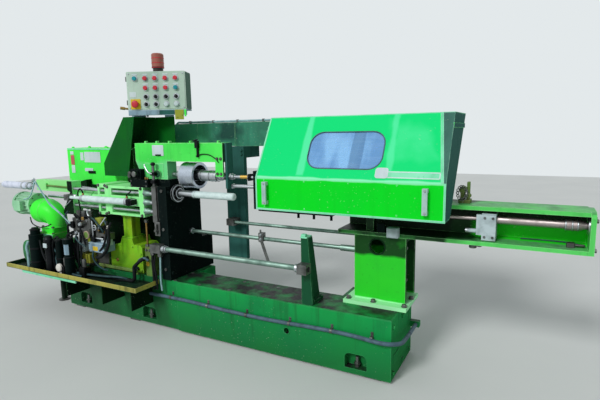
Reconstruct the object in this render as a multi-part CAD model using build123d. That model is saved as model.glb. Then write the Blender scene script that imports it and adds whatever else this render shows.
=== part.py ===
from build123d import *
import os
from math import atan2, cos, pi, sin, tan

os.makedirs("parts", exist_ok=True)

# Frame: X runs along the machine, Y to its back, Z up; the origin is on the floor,
# under the middle of the bed. All sizes are millimetres.

# Bed casting
bed_length = 3040
bed_width = 480
bed_top_z = 415
shim_thickness = 15
shim_width = 110
shim_inset = 18
shim_pitch = 700
rail_width = 277
trough_floor_z = 235
trough_start_x = -190
trough_end_x = 1090
front_step = 12
front_step_x = -193
pocket_width = 150
pocket_height = 100
pocket_depth = 60
pocket_base_z = 50
pocket_xs = (-1295, -515, bed_length / 2 - 230)
pocket_corner = 35
bed_chamfer = 6
hose_socket = (65, 40, 40)
hose_gland_length = 60
hose_gland_height = 50
drain_x = 790
drain_z = 210
drain_radius = 22
drain_depth = 40
bed_front_y = -bed_width / 2
bed_back_y = bed_width / 2
bed_left_x = -bed_length / 2
bed_right_x = bed_length / 2
bed_recess_y = bed_front_y + front_step
rail_back_y = bed_front_y + rail_width

# Working axes
ram_axis_y = bed_front_y + 110
ram_axis_z = 1092
spindle_axis_z = 1240
running_gap = 0.1
sliding_gap = 0.5

# Platen
platen_x = -330
platen_thickness = 85
platen_top_z = 1152
platen_back_y = bed_back_y - 90
platen_foot_back_y = bed_back_y + 45
platen_foot_top_z = 690
pedestal_base_x = -528
platen_face_x = platen_x + platen_thickness

# Ram
ram_shank_radius = 24
ram_sleeve_radius = 27
ram_nose_round = 14
ram_tail_x = -640
ram_tip_x = 318
ram_sleeve_length = 385
ram_step_radius = 25.5
ram_step_length = 30
gland_radius = 68
gland_thickness = 24
gland_inner_ring = 42
gland_ring_thickness = 14

# Head frame left of the platen
tie_plate_thickness = 45
tie_plate_base_z = 869
tie_plate_top_z = 1150
spacer_thickness = 20
spacer_inset = 14
nut_radius = 24
nut_tip_radius = 15
nut_length = 62
nut_middle_z = 1020
stop_rod_radius = 11
stop_rod_height = 167
stop_rod_y_inset = 12
head_depth = 235
crosshead_x0 = -905
crosshead_x1 = -485
crosshead_base_z = 901
crosshead_top_z = 1139
crosshead_wall = 16
window_left_x = -850
window_right_x = -532
upper_window_z = (1062, 1120)
lower_window_z = (918, 984)
tie_rod_radius = 14
tie_rod_y_inset = 20
tie_rod_upper_z = 1092
tie_rod_lower_z = 949
end_block_length = 108
end_pocket_depth = 70
end_pocket_margin = 22
end_block_base_z = 892
end_block_top_z = 1150
press_cylinder_length = 330
press_cylinder_radius = 85
press_cylinder_z = 990
cylinder_cap_length = 70
cylinder_cap_radius = 90
anchor_depth = 90
anchor_block_length = 62
anchor_block_z = (1050, 1157)
anchor_foot_length = 140
anchor_foot_z = (864, 885)
anchor_shoulder_x = 27
anchor_shoulder_z = 1060
tail_rod_length = 510
press_rod_radius = 16

# Side cylinder in front of the crosshead
side_cylinder_x0 = -1175
side_cylinder_x1 = -620
side_cylinder_gap = 5
side_cylinder_z = 1022
side_cylinder_radius = 27
side_eye_length = 60
side_eye_height = 50
side_rod_radius = 14
side_rod_length = 155
side_clevis_length = 50
side_cylinder_y = bed_front_y - side_cylinder_radius - side_cylinder_gap

# Head upright and cylinder housing
upright_x0 = -1500
upright_x1 = -420
upright_front_y = 40
upright_back_y = 240
housing_x0 = -1790
housing_x1 = -900
housing_front_y = 60
housing_back_y = 300
housing_base_z = 1095
housing_top_z = 1432
slideway_x0 = -2330
slideway_width = 90
slideway_base_z = 1000
slideway_top_z = 1108
slideway_lug = 150

# Upper arm and spindle
arm_front_y = -190
arm_depth = 100
arm_x0 = -594
arm_x1 = 268
arm_top_z = 1483
arm_base_z = 1345
arm_leg_x0 = pedestal_base_x
arm_leg_x1 = -262
arm_leg_base_z = 1205
arm_boss_x = -352
arm_boss_z = 1249
arm_boss_radius = 30
arm_boss_stand = 15
ear_x0 = 200
ear_depth = 14
ear_base_z = 1242
hanger_x0 = arm_x1
hanger_length = 18
hanger_width = 70
hanger_base_z = 1155
drum_x0 = -128
drum_length = 135
drum_radius = 97
drum_recess_radius = 78
drum_recess_depth = 40
spindle_shaft_radius = 40
spindle_shaft_end_x = 183
spindle_step_radius = 28
spindle_step_end_x = 246
spindle_journal_radius = 18
spindle_nose_radius = 22
spindle_nose_x0 = -225
arm_bearing_depth = 60
journal_end_gap = 4

# Guard and control station
guard_front_y = -45
guard_return = 2
guard_sheet = 6
guard_top_z = 1697
guard_top_x0 = -869
guard_top_x1 = -745
guard_foot_x0 = -1150
guard_foot_x1 = -858
guard_shoulder_z = 1306
guard_base_z = 1196
guard_rear_y = 205
guard_rear_x1 = -537
guard_rear_base_z = 1440
control_corner_x = -817
control_corner_y = -30
control_turn = 25
control_width = 496
control_depth = 150
control_base_z = 1754
control_height = 311
control_edge = 12
button_radius = 21
button_height = 20
button_columns = (0.146, 0.323, 0.49, 0.665, 0.837)
button_rows = (0.18, 0.43, 0.66, 0.86)
button_top_row = (0, 1, 2, 3, 4)
button_other_rows = (1, 2, 3, 4)
stop_plate_side = 84
stop_plate_thickness = 4
stop_column = 0.14
stop_row = 0.85
stop_radius = 27
stop_height = 34
shelf_sheet = 8
shelf_apron = 46
riser_x = (-835, -765)
riser_y = (20, 110)
wall_riser_x = (-640, -540)
beacon_radius = 50
beacon_height = 118
beacon_base_height = 34
beacon_base_radius = 42
beacon_edge = 9

# Rear cover, its bracket and the hanging post
cover_x0 = -746
cover_corner = 40
cover_bracket_reach = 100
cover_bracket_sheet = 12
cover_x1 = 1775
cover_front_y = 412
cover_depth = 70
cover_base_z = 1440
cover_top_z = 1640
post_x0 = -40
post_width = 182
post_front_y = 250
post_thickness = 40
post_base_z = 510
post_arm_height = 90
mast_x0 = 1230
mast_width = 90
mast_front_y = 120
mast_depth = 60
mast_arm_height = 120

# Guide rods and their supports
front_rod_y = -262
front_rod_z = 672
front_rod_radius = 19
front_rod_x0 = -395
front_rod_grip = 20
middle_rod_y = 20
middle_rod_z = 764
middle_rod_collar_length = 110
middle_rod_collar_radius = 22
lever_x = 430
lever_length = 34
lever_hub = 19
lever_hub_top = 46
lever_drop = 180
lever_lean = 66
lever_width = 22
lever_sheet = 10
middle_rod_radius = 15
rear_rod_y = 180
rear_rod_z = 831
rear_rod_radius = 13
clamp_length = 70
left_clamp_length = 105
clamp_wall = 14
gusset_x0 = 905
gusset_x1 = 985
gusset_shoulder = 20
gusset_front_y = -228
gusset_back_y = -60
gusset_top_z = 868
gusset_top_depth = 45
gusset_web = 24
gusset_flange = 18
gusset_foot = 20

# Column and feed beam
column_overhang = 20
column_width = 345
column_x1 = bed_right_x + column_overhang
column_x0 = column_x1 - column_width
column_front_y = -10
column_back_y = bed_back_y
column_flange = 26
column_web = 34
column_hole_inset = 155
column_hole_z = 805
column_hole_radius = 50
foot_margin_left = 55
foot_margin_right = 25
foot_front_y = -80
foot_thickness = 25
beam_x0 = 1076
bearing_x0 = 1260
bearing_length = 50
bearing_half_width = 30
bearing_cap = 26
beam_x1 = 2512
beam_front_y = -10
beam_depth = 230
beam_base_z = 875
beam_top_z = 1108
beam_plate = 24
beam_back_plate = 16
beam_end_plate = 25
beam_end_radius = 40
screw_y = 65
screw_z = 1023
screw_radius = 24
feed_bar_x0 = 2010
collar_x0 = 2400
collar_length = 62
collar_radius = 31
collar_tip_radius = 15
feed_block_x0 = 1976
feed_block_length = 76
feed_block_width = 110
feed_block_top = 33
feed_block_foot_gap = 6
link_length = 30
link_depth = 40
link_base_z = 935
link_pin_length = 90
link_pin_radius = 12
link_pin_z = 955
bar_nose_radius = 13

# Tail bracket under the hood
tail_tongue = 170
tail_plate_thickness = 22
tail_plate_z = 1000
tail_plate_front_y = -110
tail_plate_back_y = 90
tail_bracket_x0 = 505
tail_bracket_length = 58
tail_bracket_top_z = 1288
tail_bracket_front = 36
tail_bracket_back = 60
tail_rod_radius = 13
tail_rod_z = 1170
tail_rod_offset = 20
drive_rod_radius = 11
stud_radius = 9
stud_length = 42
stud_xs = (790, 910, 1040)
stud_y = -40

# Hood
hood_x0 = 575
hood_x1 = 1812
hood_sheet = 4
hood_front_y = -240
hood_base_z = 1037
hood_ridge_z = 1255
hood_brow_y = -20
hood_top_z = 1650
hood_back_y = 386
hood_heel_y = -72
hood_heel_z = 1050
hood_heel_step = 30
hood_cutter_reach = 60
pane_overlap = 20
hood_cut_share = 2
hinge_y = 404
hinge_z = 1652
hinge_pin_radius = 7
hinge_knuckle_radius = 12
hinge_knuckle_length = 80
hinge_xs = (760, 1193, 1626)
hinge_leaf_reach = 34
hinge_leaf = 6
hood_window_width = 500
hood_window_height = 256
hood_window_centre_x = 1180
hood_window_rise = 205
hood_window_corner = 86
hood_window_thickness = 5
handle_xs = (655, 1705)
handle_height = 150
handle_width = 30
handle_stand = 32
handle_thickness = 12
handle_foot = 24
handle_rise = 8

# Drip tray and its legs
tray_x0 = bed_left_x - 530
tray_x1 = -388
tray_front_y = -468
tray_top_z = 400
tray_lip = 38
tray_sheet = 5
tray_leg_x = bed_left_x - 184
tray_leg_radius = 24
tray_leg_spread = 166
tray_floor_z = tray_top_z - tray_lip + tray_sheet

# Oil tank and the vertical pumps in front of it
tank_x0 = bed_left_x - 520
tank_end_gap = 25
tank_front_y = -315
tank_back_y = -60
tank_top_z = 590
tank_corner = 95
pumps_y = -402
big_pump_x = bed_left_x - 155
big_pump_radius = 56
big_pump_top_z = 690
big_pump_neck_radius = 40
big_pump_neck_top_z = 729
small_pump_x = -1350
small_pump_radius = 32
small_pump_top_z = 664
filter_x = -1232
filter_bowl_radius = 40
filter_bowl_top_z = 540
filter_radius = 33
filter_top_z = 650
filter_head_radius = 42
filter_head_top_z = 690

# Horizontal pump set
pump_axis_y = -235
motor_axis_z = 925
motor_x0 = bed_left_x - 565
motor_length = 243
motor_core_radius = 95
motor_fin_height = 9
motor_fins = 20
motor_fin_thickness = 6
motor_cap_length = 26
bell_axis_z = 870
bell_radius = 111
bell_round = 39
bell_length = 140
elbow_bend = 112
elbow_start_radius = 108
elbow_end_radius = 76
elbow_steps = 5
flange_top_z = 736
upper_flange = (172, 160)
lower_flange = (192, 178)
flange_plate = 50
flange_shift = (-38, -12)
flange_corner = 24
flange_foot_length = 147
flange_foot_width = 130

# Accumulator above the motor
accumulator_x0 = motor_x0 - 305
accumulator_x1 = motor_x0 + 155
accumulator_z = 1085
accumulator_radius = 24
accumulator_neck = 40
accumulator_neck_radius = 12
saddle_xs = (motor_x0 + 25, motor_x0 + 125)
saddle_length = 30
saddle_width = 36
seat_gap = 0.3

# Valve stand and junction box
stand_x0 = -1300
stand_x1 = -965
stand_back_y = -210
stand_sheet = 12
stand_top_z = 800
manifold_x = (-1290, -1060)
manifold_front_y = -300
manifold_z = (700, 850)
valve_xs = (-1245, -1180, -1105)
valve_radius = 24
valve_height = 62
gauge_x = -1070
gauge_z = 740
gauge_radius = 30
gauge_stand = 24
cooler_x = (-1000, -868)
cooler_z = (690, 745)
junction_x = (-1066, -876)
junction_z = (585, 665)
junction_front_y = -330
junction_corner = 6

# Gearcase and pillar under the crosshead
gearcase_y = (-200, -10)
gearcase_x0 = -960
gearcase_x1 = -582
gearcase_shoulder_z = 600
gearcase_side_z = 650
gearcase_chamfer = 22
gearcase_hump_x = (-812, -692)
gearcase_hump_z = 696
gearcase_hump_slope = 16
neck_x = (-801, -706)
neck_y = (-180, -90)
pillar_x = (-520, -445)
pillar_y = (-226, -160)
pillar_top_z = 656

# Pilot valve on the crosshead
pilot_y = (-238, -196)
pilot_body_x = (-620, -430)
pilot_body_top_z = 1200
pilot_head_x = (-610, -500)
pilot_head_top_z = 1282
pilot_knob_stand = 20
pilot_knobs = ((-535, 1246, 30), (-588, 1250, 16))

# Return pipe in the tray and supply hose round the bed
return_pipe_radius = 14
return_pipe_bend = 34
return_pipe_z = tray_floor_z + return_pipe_radius
return_pipe_points = (
    (-490, pillar_y[0], 570),
    (-490, -300, 570),
    (-578, -300, 500),
    (-578, -300, return_pipe_z),
    (-1190, -345, return_pipe_z),
)
hose_radius = 13
hose_points = (
    (-720, -255, 284),
    (-420, -255, 284),
    (-60, -256, 286),
    (300, -254, 270),
    (640, -255, 267),
    (970, -254, 279),
    (1240, -256, 284),
    (bed_right_x + 60, bed_front_y - 60, 281),
    (bed_right_x + 42, bed_front_y + 260, 228),
    (bed_right_x + 42, bed_back_y - 40, 228),
)
hose_bend_share = 0.45


def block(x, y, z):
    """A box between two values on each axis."""
    size = (x[1] - x[0], y[1] - y[0], z[1] - z[0])
    middle = ((x[0] + x[1]) / 2, (y[0] + y[1]) / 2, (z[0] + z[1]) / 2)
    return Pos(*middle) * Box(*size)


def bar_x(x, y, z, radius):
    """A round bar along X between two values, centred on y and z."""
    return Pos((x[0] + x[1]) / 2, y, z) * Rot(0, 90, 0) * Cylinder(radius, x[1] - x[0])


def bar_y(x, y, z, radius):
    """A round bar along Y between two values, centred on x and z."""
    return Pos(x, (y[0] + y[1]) / 2, z) * Rot(90, 0, 0) * Cylinder(radius, y[1] - y[0])


def bar_z(x, y, z, radius):
    """A round bar along Z between two values, centred on x and y."""
    return Pos(x, y, (z[0] + z[1]) / 2) * Cylinder(radius, z[1] - z[0])


def front_plate(points, y):
    """A plate whose outline is given as (x, z) points, between two values of y."""
    face = make_face(Polyline([(px, y[0], pz) for px, pz in points], close=True))
    return extrude(face, amount=y[1] - y[0], dir=(0, 1, 0))


def side_plate(points, x):
    """A plate whose outline is given as (y, z) points, between two values of x."""
    face = make_face(Polyline([(x[0], py, pz) for py, pz in points], close=True))
    return extrude(face, amount=x[1] - x[0], dir=(1, 0, 0))


def turned_x(profile, y, z):
    """A solid turned about an axis along X, from (x, radius) points."""
    face = make_face(Polyline([(px, y, z + r) for px, r in profile], close=True))
    return revolve(face, axis=Axis((0, y, z), (1, 0, 0)))


def save(name, shape):
    """Write one named piece of the machine."""
    export_step(shape, f"parts/{name}.step")


def save_group(name, shapes):
    """Write several like pieces that share one name."""
    export_step(Compound(children=list(shapes)), f"parts/{name}.step")


def build_bed():
    """The bed casting with its rear trough, stepped front and arched foot pockets."""
    bed = block((bed_left_x, bed_right_x), (bed_front_y, bed_back_y), (shim_thickness, bed_top_z))
    bed = chamfer(bed.edges().group_by(Axis.Z)[-1], bed_chamfer)
    bed -= block((trough_start_x, trough_end_x), (rail_back_y, bed_back_y), (trough_floor_z, bed_top_z))
    bed -= block((bed_left_x, front_step_x), (bed_front_y, bed_recess_y), (shim_thickness, bed_top_z))
    arch = pocket_width / 2
    for x in pocket_xs:
        pocket = block((x - arch, x + arch), (bed_front_y, bed_front_y + pocket_depth),
                       (pocket_base_z, pocket_base_z + pocket_height))
        bed -= fillet(pocket.edges().filter_by(Axis.Y).group_by(Axis.Z)[-1], pocket_corner)
    bed -= bar_y(drain_x, (bed_front_y, bed_front_y + drain_depth), drain_z, drain_radius)
    gland_x1, gland_y, gland_z = hose_points[0]
    half = hose_gland_height / 2
    gland_x = (gland_x1 - hose_gland_length, gland_x1)
    bed += block(gland_x, (gland_y - half, bed_recess_y), (gland_z - half, gland_z + half))
    reach, width, height = hose_socket
    socket_y, socket_z = hose_points[-1][1:]
    bed += block((bed_right_x, bed_right_x + reach), (socket_y, socket_y + width),
                 (socket_z - height / 2, socket_z + height / 2))
    save("bed", bed)
    shims = []
    for step in (-2, -1, 0, 1, 2):
        x = step * shim_pitch
        y = (bed_front_y + shim_inset, bed_back_y - shim_inset)
        shims.append(block((x - shim_width / 2, x + shim_width / 2), y, (0, shim_thickness)))
    save_group("floor_shims", shims)


def build_platen():
    """The fixed platen with the pedestal on its top, and the ram gland on its face."""
    x = (platen_x, platen_face_x)
    platen = block(x, (bed_front_y, platen_back_y), (bed_top_z, platen_top_z))
    platen += block(x, (platen_back_y, platen_foot_back_y), (bed_top_z, platen_foot_top_z))
    platen -= bar_x(x, ram_axis_y, ram_axis_z, ram_shank_radius + running_gap)
    pedestal_y = (arm_front_y, arm_front_y + arm_depth)
    platen += block((pedestal_base_x, platen_face_x), pedestal_y, (platen_top_z, arm_leg_base_z))
    save("platen", platen)
    gland_end = platen_face_x + gland_thickness
    gland = bar_x((platen_face_x, gland_end), ram_axis_y, ram_axis_z, gland_radius)
    ring_x = (gland_end, gland_end + gland_ring_thickness)
    gland += bar_x(ring_x, ram_axis_y, ram_axis_z, gland_inner_ring)
    bore = (platen_face_x, ring_x[1])
    gland -= bar_x(bore, ram_axis_y, ram_axis_z, ram_shank_radius + running_gap)
    save("ram_gland", gland)


def build_ram():
    """The sliding ram: a plain shank, a step and the pale sleeve with its rounded nose."""
    sleeve_x0 = ram_tip_x - ram_sleeve_length
    step_x0 = sleeve_x0 - ram_step_length
    ram = bar_x((ram_tail_x, step_x0), ram_axis_y, ram_axis_z, ram_shank_radius)
    ram += bar_x((step_x0, sleeve_x0), ram_axis_y, ram_axis_z, ram_step_radius)
    save("ram_shank", ram)
    sleeve = bar_x((sleeve_x0, ram_tip_x), ram_axis_y, ram_axis_z, ram_sleeve_radius)
    save("ram_sleeve", fillet(sleeve.edges().group_by(Axis.X)[-1], ram_nose_round))


def build_head():
    """Tie plate, crosshead frame with windows, rods, end block and press cylinder."""
    head_y = (bed_front_y, bed_front_y + head_depth)
    spacer_x = (platen_x - spacer_thickness, platen_x)
    tie_x = (spacer_x[0] - tie_plate_thickness, spacer_x[0])
    ram_hole = ram_shank_radius + running_gap
    spacer_y = (head_y[0] + spacer_inset, head_y[1] - spacer_inset)
    spacer = block(spacer_x, spacer_y, (tie_plate_base_z, tie_plate_top_z))
    spacer -= bar_x(spacer_x, ram_axis_y, ram_axis_z, ram_hole)
    plate = block(tie_x, head_y, (tie_plate_base_z, tie_plate_top_z))
    plate -= bar_x(tie_x, ram_axis_y, ram_axis_z, ram_hole)
    middle_x = (tie_x[0] + tie_x[1]) / 2
    plate += bar_z(middle_x, head_y[0] + stop_rod_y_inset,
                   (tie_plate_top_z, tie_plate_top_z + stop_rod_height), stop_rod_radius)
    save("tie_plate", plate + spacer)

    crosshead = block((crosshead_x0, crosshead_x1), head_y, (crosshead_base_z, crosshead_top_z))
    inner_y = (head_y[0] + crosshead_wall, head_y[1] - crosshead_wall)
    inner_z = (crosshead_base_z + crosshead_wall, crosshead_top_z - crosshead_wall)
    crosshead -= block((window_left_x, window_right_x), inner_y, inner_z)
    for low, high in (upper_window_z, lower_window_z):
        crosshead -= block((window_left_x, window_right_x), head_y, (low, high))
    crosshead -= bar_x((window_left_x, crosshead_x1), ram_axis_y, ram_axis_z, ram_hole)
    rod_ys = (head_y[0] + tie_rod_y_inset, head_y[1] - tie_rod_y_inset)
    rod_zs = (tie_rod_lower_z, tie_rod_upper_z)
    block_x = (crosshead_x0 - end_block_length, crosshead_x0)
    body_x0 = block_x[0] - press_cylinder_length
    end_block = block(block_x, head_y, (end_block_base_z, end_block_top_z))
    pocket_x = (block_x[0] + end_pocket_margin, block_x[1] - end_pocket_margin)
    for window_z in (upper_window_z, lower_window_z):
        end_block -= block(pocket_x, (head_y[0], head_y[0] + end_pocket_depth), window_z)
    rods = []
    for y, rod_x0 in zip(rod_ys, (body_x0, block_x[0])):
        for z in rod_zs:
            crosshead -= bar_x((crosshead_x0, crosshead_x1), y, z, tie_rod_radius)
            end_block -= bar_x(block_x, y, z, tie_rod_radius)
            nut_x1 = crosshead_x1 + nut_length
            profile = [(rod_x0, 0), (rod_x0, tie_rod_radius), (crosshead_x1, tie_rod_radius),
                       (crosshead_x1, nut_radius), (nut_x1, nut_tip_radius),
                       (tie_x[0], nut_tip_radius), (tie_x[0], 0)]
            rods.append(turned_x(profile, y, z))
    middle_nut = [(crosshead_x1, 0), (crosshead_x1, nut_radius), (crosshead_x1 + nut_length, nut_tip_radius),
                  (tie_x[0], nut_tip_radius), (tie_x[0], 0)]
    rods.append(turned_x(middle_nut, rod_ys[0], nut_middle_z))
    save("crosshead", crosshead)
    save("end_block", end_block)
    cylinder_y = (head_y[0] + head_y[1]) / 2
    tail_x = (body_x0 - tail_rod_length, body_x0)
    rods.append(bar_x(tail_x, cylinder_y, press_cylinder_z, press_rod_radius))
    save_group("tie_rods", rods)
    cylinder = bar_x((body_x0, block_x[0]), cylinder_y, press_cylinder_z, press_cylinder_radius)
    cap_x = (body_x0, body_x0 + cylinder_cap_length)
    cylinder += bar_x(cap_x, cylinder_y, press_cylinder_z, cylinder_cap_radius)
    anchor_points = [
        (body_x0, anchor_block_z[1]),
        (body_x0 - anchor_block_length, anchor_block_z[1]),
        (body_x0 - anchor_block_length, anchor_block_z[0] + anchor_shoulder_x),
        (body_x0 - anchor_shoulder_x, anchor_shoulder_z),
        (body_x0 - anchor_foot_length, anchor_foot_z[1]),
        (body_x0 - anchor_foot_length, anchor_foot_z[0]),
        (body_x0, anchor_foot_z[0]),
    ]
    cylinder += front_plate(anchor_points, (head_y[0], head_y[0] + anchor_depth))
    save("press_cylinder", cylinder)


def build_side_cylinder():
    """The slim cylinder along the crosshead's front, held by its eye and its clevis."""
    y = (side_cylinder_y - side_cylinder_radius, bed_front_y)
    barrel_x = (side_cylinder_x0, side_cylinder_x1)
    barrel = bar_x(barrel_x, side_cylinder_y, side_cylinder_z, side_cylinder_radius)
    half = side_eye_height / 2
    z = (side_cylinder_z - half, side_cylinder_z + half)
    eye = block((side_cylinder_x1, side_cylinder_x1 + side_eye_length), y, z)
    rod_x0 = side_cylinder_x0 - side_rod_length
    rod = bar_x((rod_x0, side_cylinder_x0), side_cylinder_y, side_cylinder_z, side_rod_radius)
    clevis = block((rod_x0 - side_clevis_length, rod_x0), y, z)
    save("side_cylinder", barrel + eye + rod + clevis)


def build_upright():
    """The dark upright behind the head, the housing on it and the rear slideway."""
    x = (upright_x0, upright_x1)
    save("head_upright", block(x, (upright_front_y, upright_back_y), (bed_top_z, housing_base_z)))
    housing_y = (housing_front_y, housing_back_y)
    housing = block((housing_x0, housing_x1), housing_y, (housing_base_z, housing_top_z))
    slide_y = (housing_front_y, housing_front_y + slideway_width)
    slideway = block((slideway_x0, housing_x0), slide_y, (slideway_base_z, slideway_top_z))
    lug_x = (housing_x0, housing_x0 + slideway_lug)
    slideway += block(lug_x, slide_y, (slideway_base_z, housing_base_z))
    save("cylinder_housing", housing + slideway)


def build_arm():
    """The cranked upper arm with its leg, boss and ear, and the spindle hanger at its end."""
    y = (arm_front_y, arm_front_y + arm_depth)
    arm_points = [
        (arm_x0, arm_top_z),
        (arm_x1, arm_top_z),
        (arm_x1, arm_base_z),
        (arm_leg_x1, arm_base_z),
        (arm_leg_x1, arm_leg_base_z),
        (arm_leg_x0, arm_leg_base_z),
        (arm_x0, arm_base_z),
    ]
    arm = front_plate(arm_points, y)
    arm -= bar_x((arm_leg_x1 - arm_bearing_depth, arm_leg_x1), ram_axis_y, spindle_axis_z,
                 spindle_journal_radius + running_gap)
    arm += bar_y(arm_boss_x, (arm_front_y - arm_boss_stand, arm_front_y), arm_boss_z, arm_boss_radius)
    ear_y = (arm_front_y, arm_front_y + ear_depth)
    arm += block((ear_x0, arm_x1), ear_y, (ear_base_z, arm_base_z))
    save("upper_arm", arm)
    half = hanger_width / 2
    hanger_x = (hanger_x0, hanger_x0 + hanger_length)
    hanger = block(hanger_x, (ram_axis_y - half, ram_axis_y + half), (hanger_base_z, arm_top_z))
    hanger -= bar_x(hanger_x, ram_axis_y, spindle_axis_z, spindle_journal_radius + running_gap)
    save("spindle_hanger", hanger)


def build_spindle():
    """The spindle: nose, polished drum with a recessed face, shaft and two journals."""
    drum_x1 = drum_x0 + drum_length
    drum = bar_x((drum_x0, drum_x1), ram_axis_y, spindle_axis_z, drum_radius)
    recess_x = (drum_x1 - drum_recess_depth, drum_x1)
    drum -= bar_x(recess_x, ram_axis_y, spindle_axis_z, drum_recess_radius)
    drum -= bar_x((drum_x0, drum_x1), ram_axis_y, spindle_axis_z, spindle_nose_radius)
    save("spindle_drum", drum)
    journal_x0 = arm_leg_x1 - arm_bearing_depth + journal_end_gap
    journal_x1 = hanger_x0 + hanger_length - journal_end_gap
    shaft = bar_x((journal_x0, journal_x1), ram_axis_y, spindle_axis_z, spindle_journal_radius)
    shaft += bar_x((spindle_nose_x0, recess_x[0]), ram_axis_y, spindle_axis_z, spindle_nose_radius)
    shaft += bar_x((recess_x[0], spindle_shaft_end_x), ram_axis_y, spindle_axis_z, spindle_shaft_radius)
    step_x = (spindle_shaft_end_x, spindle_step_end_x)
    shaft += bar_x(step_x, ram_axis_y, spindle_axis_z, spindle_step_radius)
    save("spindle_shaft", shaft)


def build_guard():
    """The folded guard round the head: front cheek, sloping side and rear wall."""
    outer = [
        (guard_foot_x1, guard_base_z),
        (guard_top_x1, guard_top_z),
        (guard_top_x0, guard_top_z),
        (guard_foot_x0, guard_shoulder_z),
        (guard_foot_x0, guard_base_z),
    ]
    cheek = front_plate(outer, (guard_front_y, guard_front_y + guard_sheet))
    slope = [
        (guard_top_x0, guard_top_z),
        (guard_top_x0 + guard_return * guard_sheet, guard_top_z),
        (guard_foot_x0 + guard_return * guard_sheet, guard_shoulder_z),
        (guard_foot_x0 + guard_return * guard_sheet, guard_base_z),
        (guard_foot_x0, guard_base_z),
        (guard_foot_x0, guard_shoulder_z),
    ]
    side = front_plate(slope, (guard_front_y, guard_rear_y + guard_sheet))
    housing_y = (housing_front_y, housing_back_y)
    housing_room = block((housing_x0, housing_x1), housing_y, (guard_base_z, housing_top_z))
    rear = block((guard_top_x0, guard_rear_x1), (guard_rear_y, guard_rear_y + guard_sheet),
                 (guard_rear_base_z, guard_top_z))
    top = block((guard_top_x0, guard_top_x1), (guard_front_y, guard_rear_y + guard_sheet),
                (guard_top_z - guard_sheet, guard_top_z))
    guard = cheek + side + rear + top - housing_room
    save("head_guard", guard)


def build_control_station():
    """The control box, turned towards the operator, on its shelf, with buttons and the beacon."""
    station = Pos(control_corner_x, control_corner_y, control_base_z) * Rot(0, 0, control_turn)
    width = (0, control_width)
    depth = (0, control_depth)
    shelf = station * block(width, depth, (-shelf_sheet, 0))
    shelf += station * block(width, (0, shelf_sheet), (-shelf_apron, 0))
    shelf_base_z = control_base_z - shelf_sheet
    shelf += block(riser_x, riser_y, (guard_top_z, shelf_base_z))
    shelf += block(wall_riser_x, (guard_rear_y, guard_rear_y + guard_sheet), (guard_top_z, shelf_base_z))
    save("control_shelf", shelf)
    box = block(width, depth, (0, control_height))
    save("control_box", station * fillet(box.edges().filter_by(Axis.Y), control_edge))

    buttons = []
    for row, down in enumerate(button_rows):
        for column in button_other_rows if row else button_top_row:
            x = control_width * button_columns[column]
            z = control_height * (1 - down)
            buttons.append(station * bar_y(x, (-button_height, 0), z, button_radius))
    x = control_width * stop_column
    z = control_height * (1 - stop_row)
    half = stop_plate_side / 2
    stop = block((x - half, x + half), (-stop_plate_thickness, 0), (z - half, z + half))
    stop += bar_y(x, (-stop_height, -stop_plate_thickness), z, stop_radius)
    buttons.append(station * stop)
    save_group("control_buttons", buttons)

    foot_z = (control_height, control_height + beacon_base_height)
    lens_z = (foot_z[1], foot_z[1] + beacon_height)
    lens = bar_z(control_width / 2, control_depth / 2, lens_z, beacon_radius)
    lens = chamfer(lens.edges().group_by(Axis.Z)[-1], beacon_edge)
    foot = bar_z(control_width / 2, control_depth / 2, foot_z, beacon_base_radius)
    save("beacon", station * (foot + lens))


def build_rear_cover():
    """The long rear cover, the bracket that joins it to the housing and the mast."""
    y = (cover_front_y, cover_front_y + cover_depth)
    cover = block((cover_x0, cover_x1), y, (cover_base_z, cover_top_z))
    cover = fillet(cover.edges().filter_by(Axis.Y).group_by(Axis.X)[0].group_by(Axis.Z)[-1], cover_corner)
    bracket_y = (guard_rear_y + guard_sheet, cover_front_y)
    sheet_z = (housing_top_z, housing_top_z + cover_bracket_sheet)
    bracket = block((housing_x1 - cover_bracket_reach, cover_x0), bracket_y, sheet_z)
    bracket += block((cover_x0 - cover_bracket_sheet, cover_x0), (bracket_y[0], y[1]),
                     (housing_top_z, cover_top_z - cover_corner))
    save("rear_cover", cover + bracket)

    post_x = (post_x0, post_x0 + post_width)
    post = block(post_x, (post_front_y, post_front_y + post_thickness), (post_base_z, cover_base_z))
    arm_y = (post_front_y, cover_front_y + cover_depth)
    post += block(post_x, arm_y, (cover_base_z - post_arm_height, cover_base_z))
    mast_x = (mast_x0, mast_x0 + mast_width)
    mast = block(mast_x, (mast_front_y, mast_front_y + mast_depth), (beam_top_z, cover_base_z))
    arm_z = (cover_base_z - mast_arm_height, cover_base_z)
    mast += block(mast_x, (mast_front_y, cover_front_y + cover_depth), arm_z)
    save_group("cover_posts", [post, mast])


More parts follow.
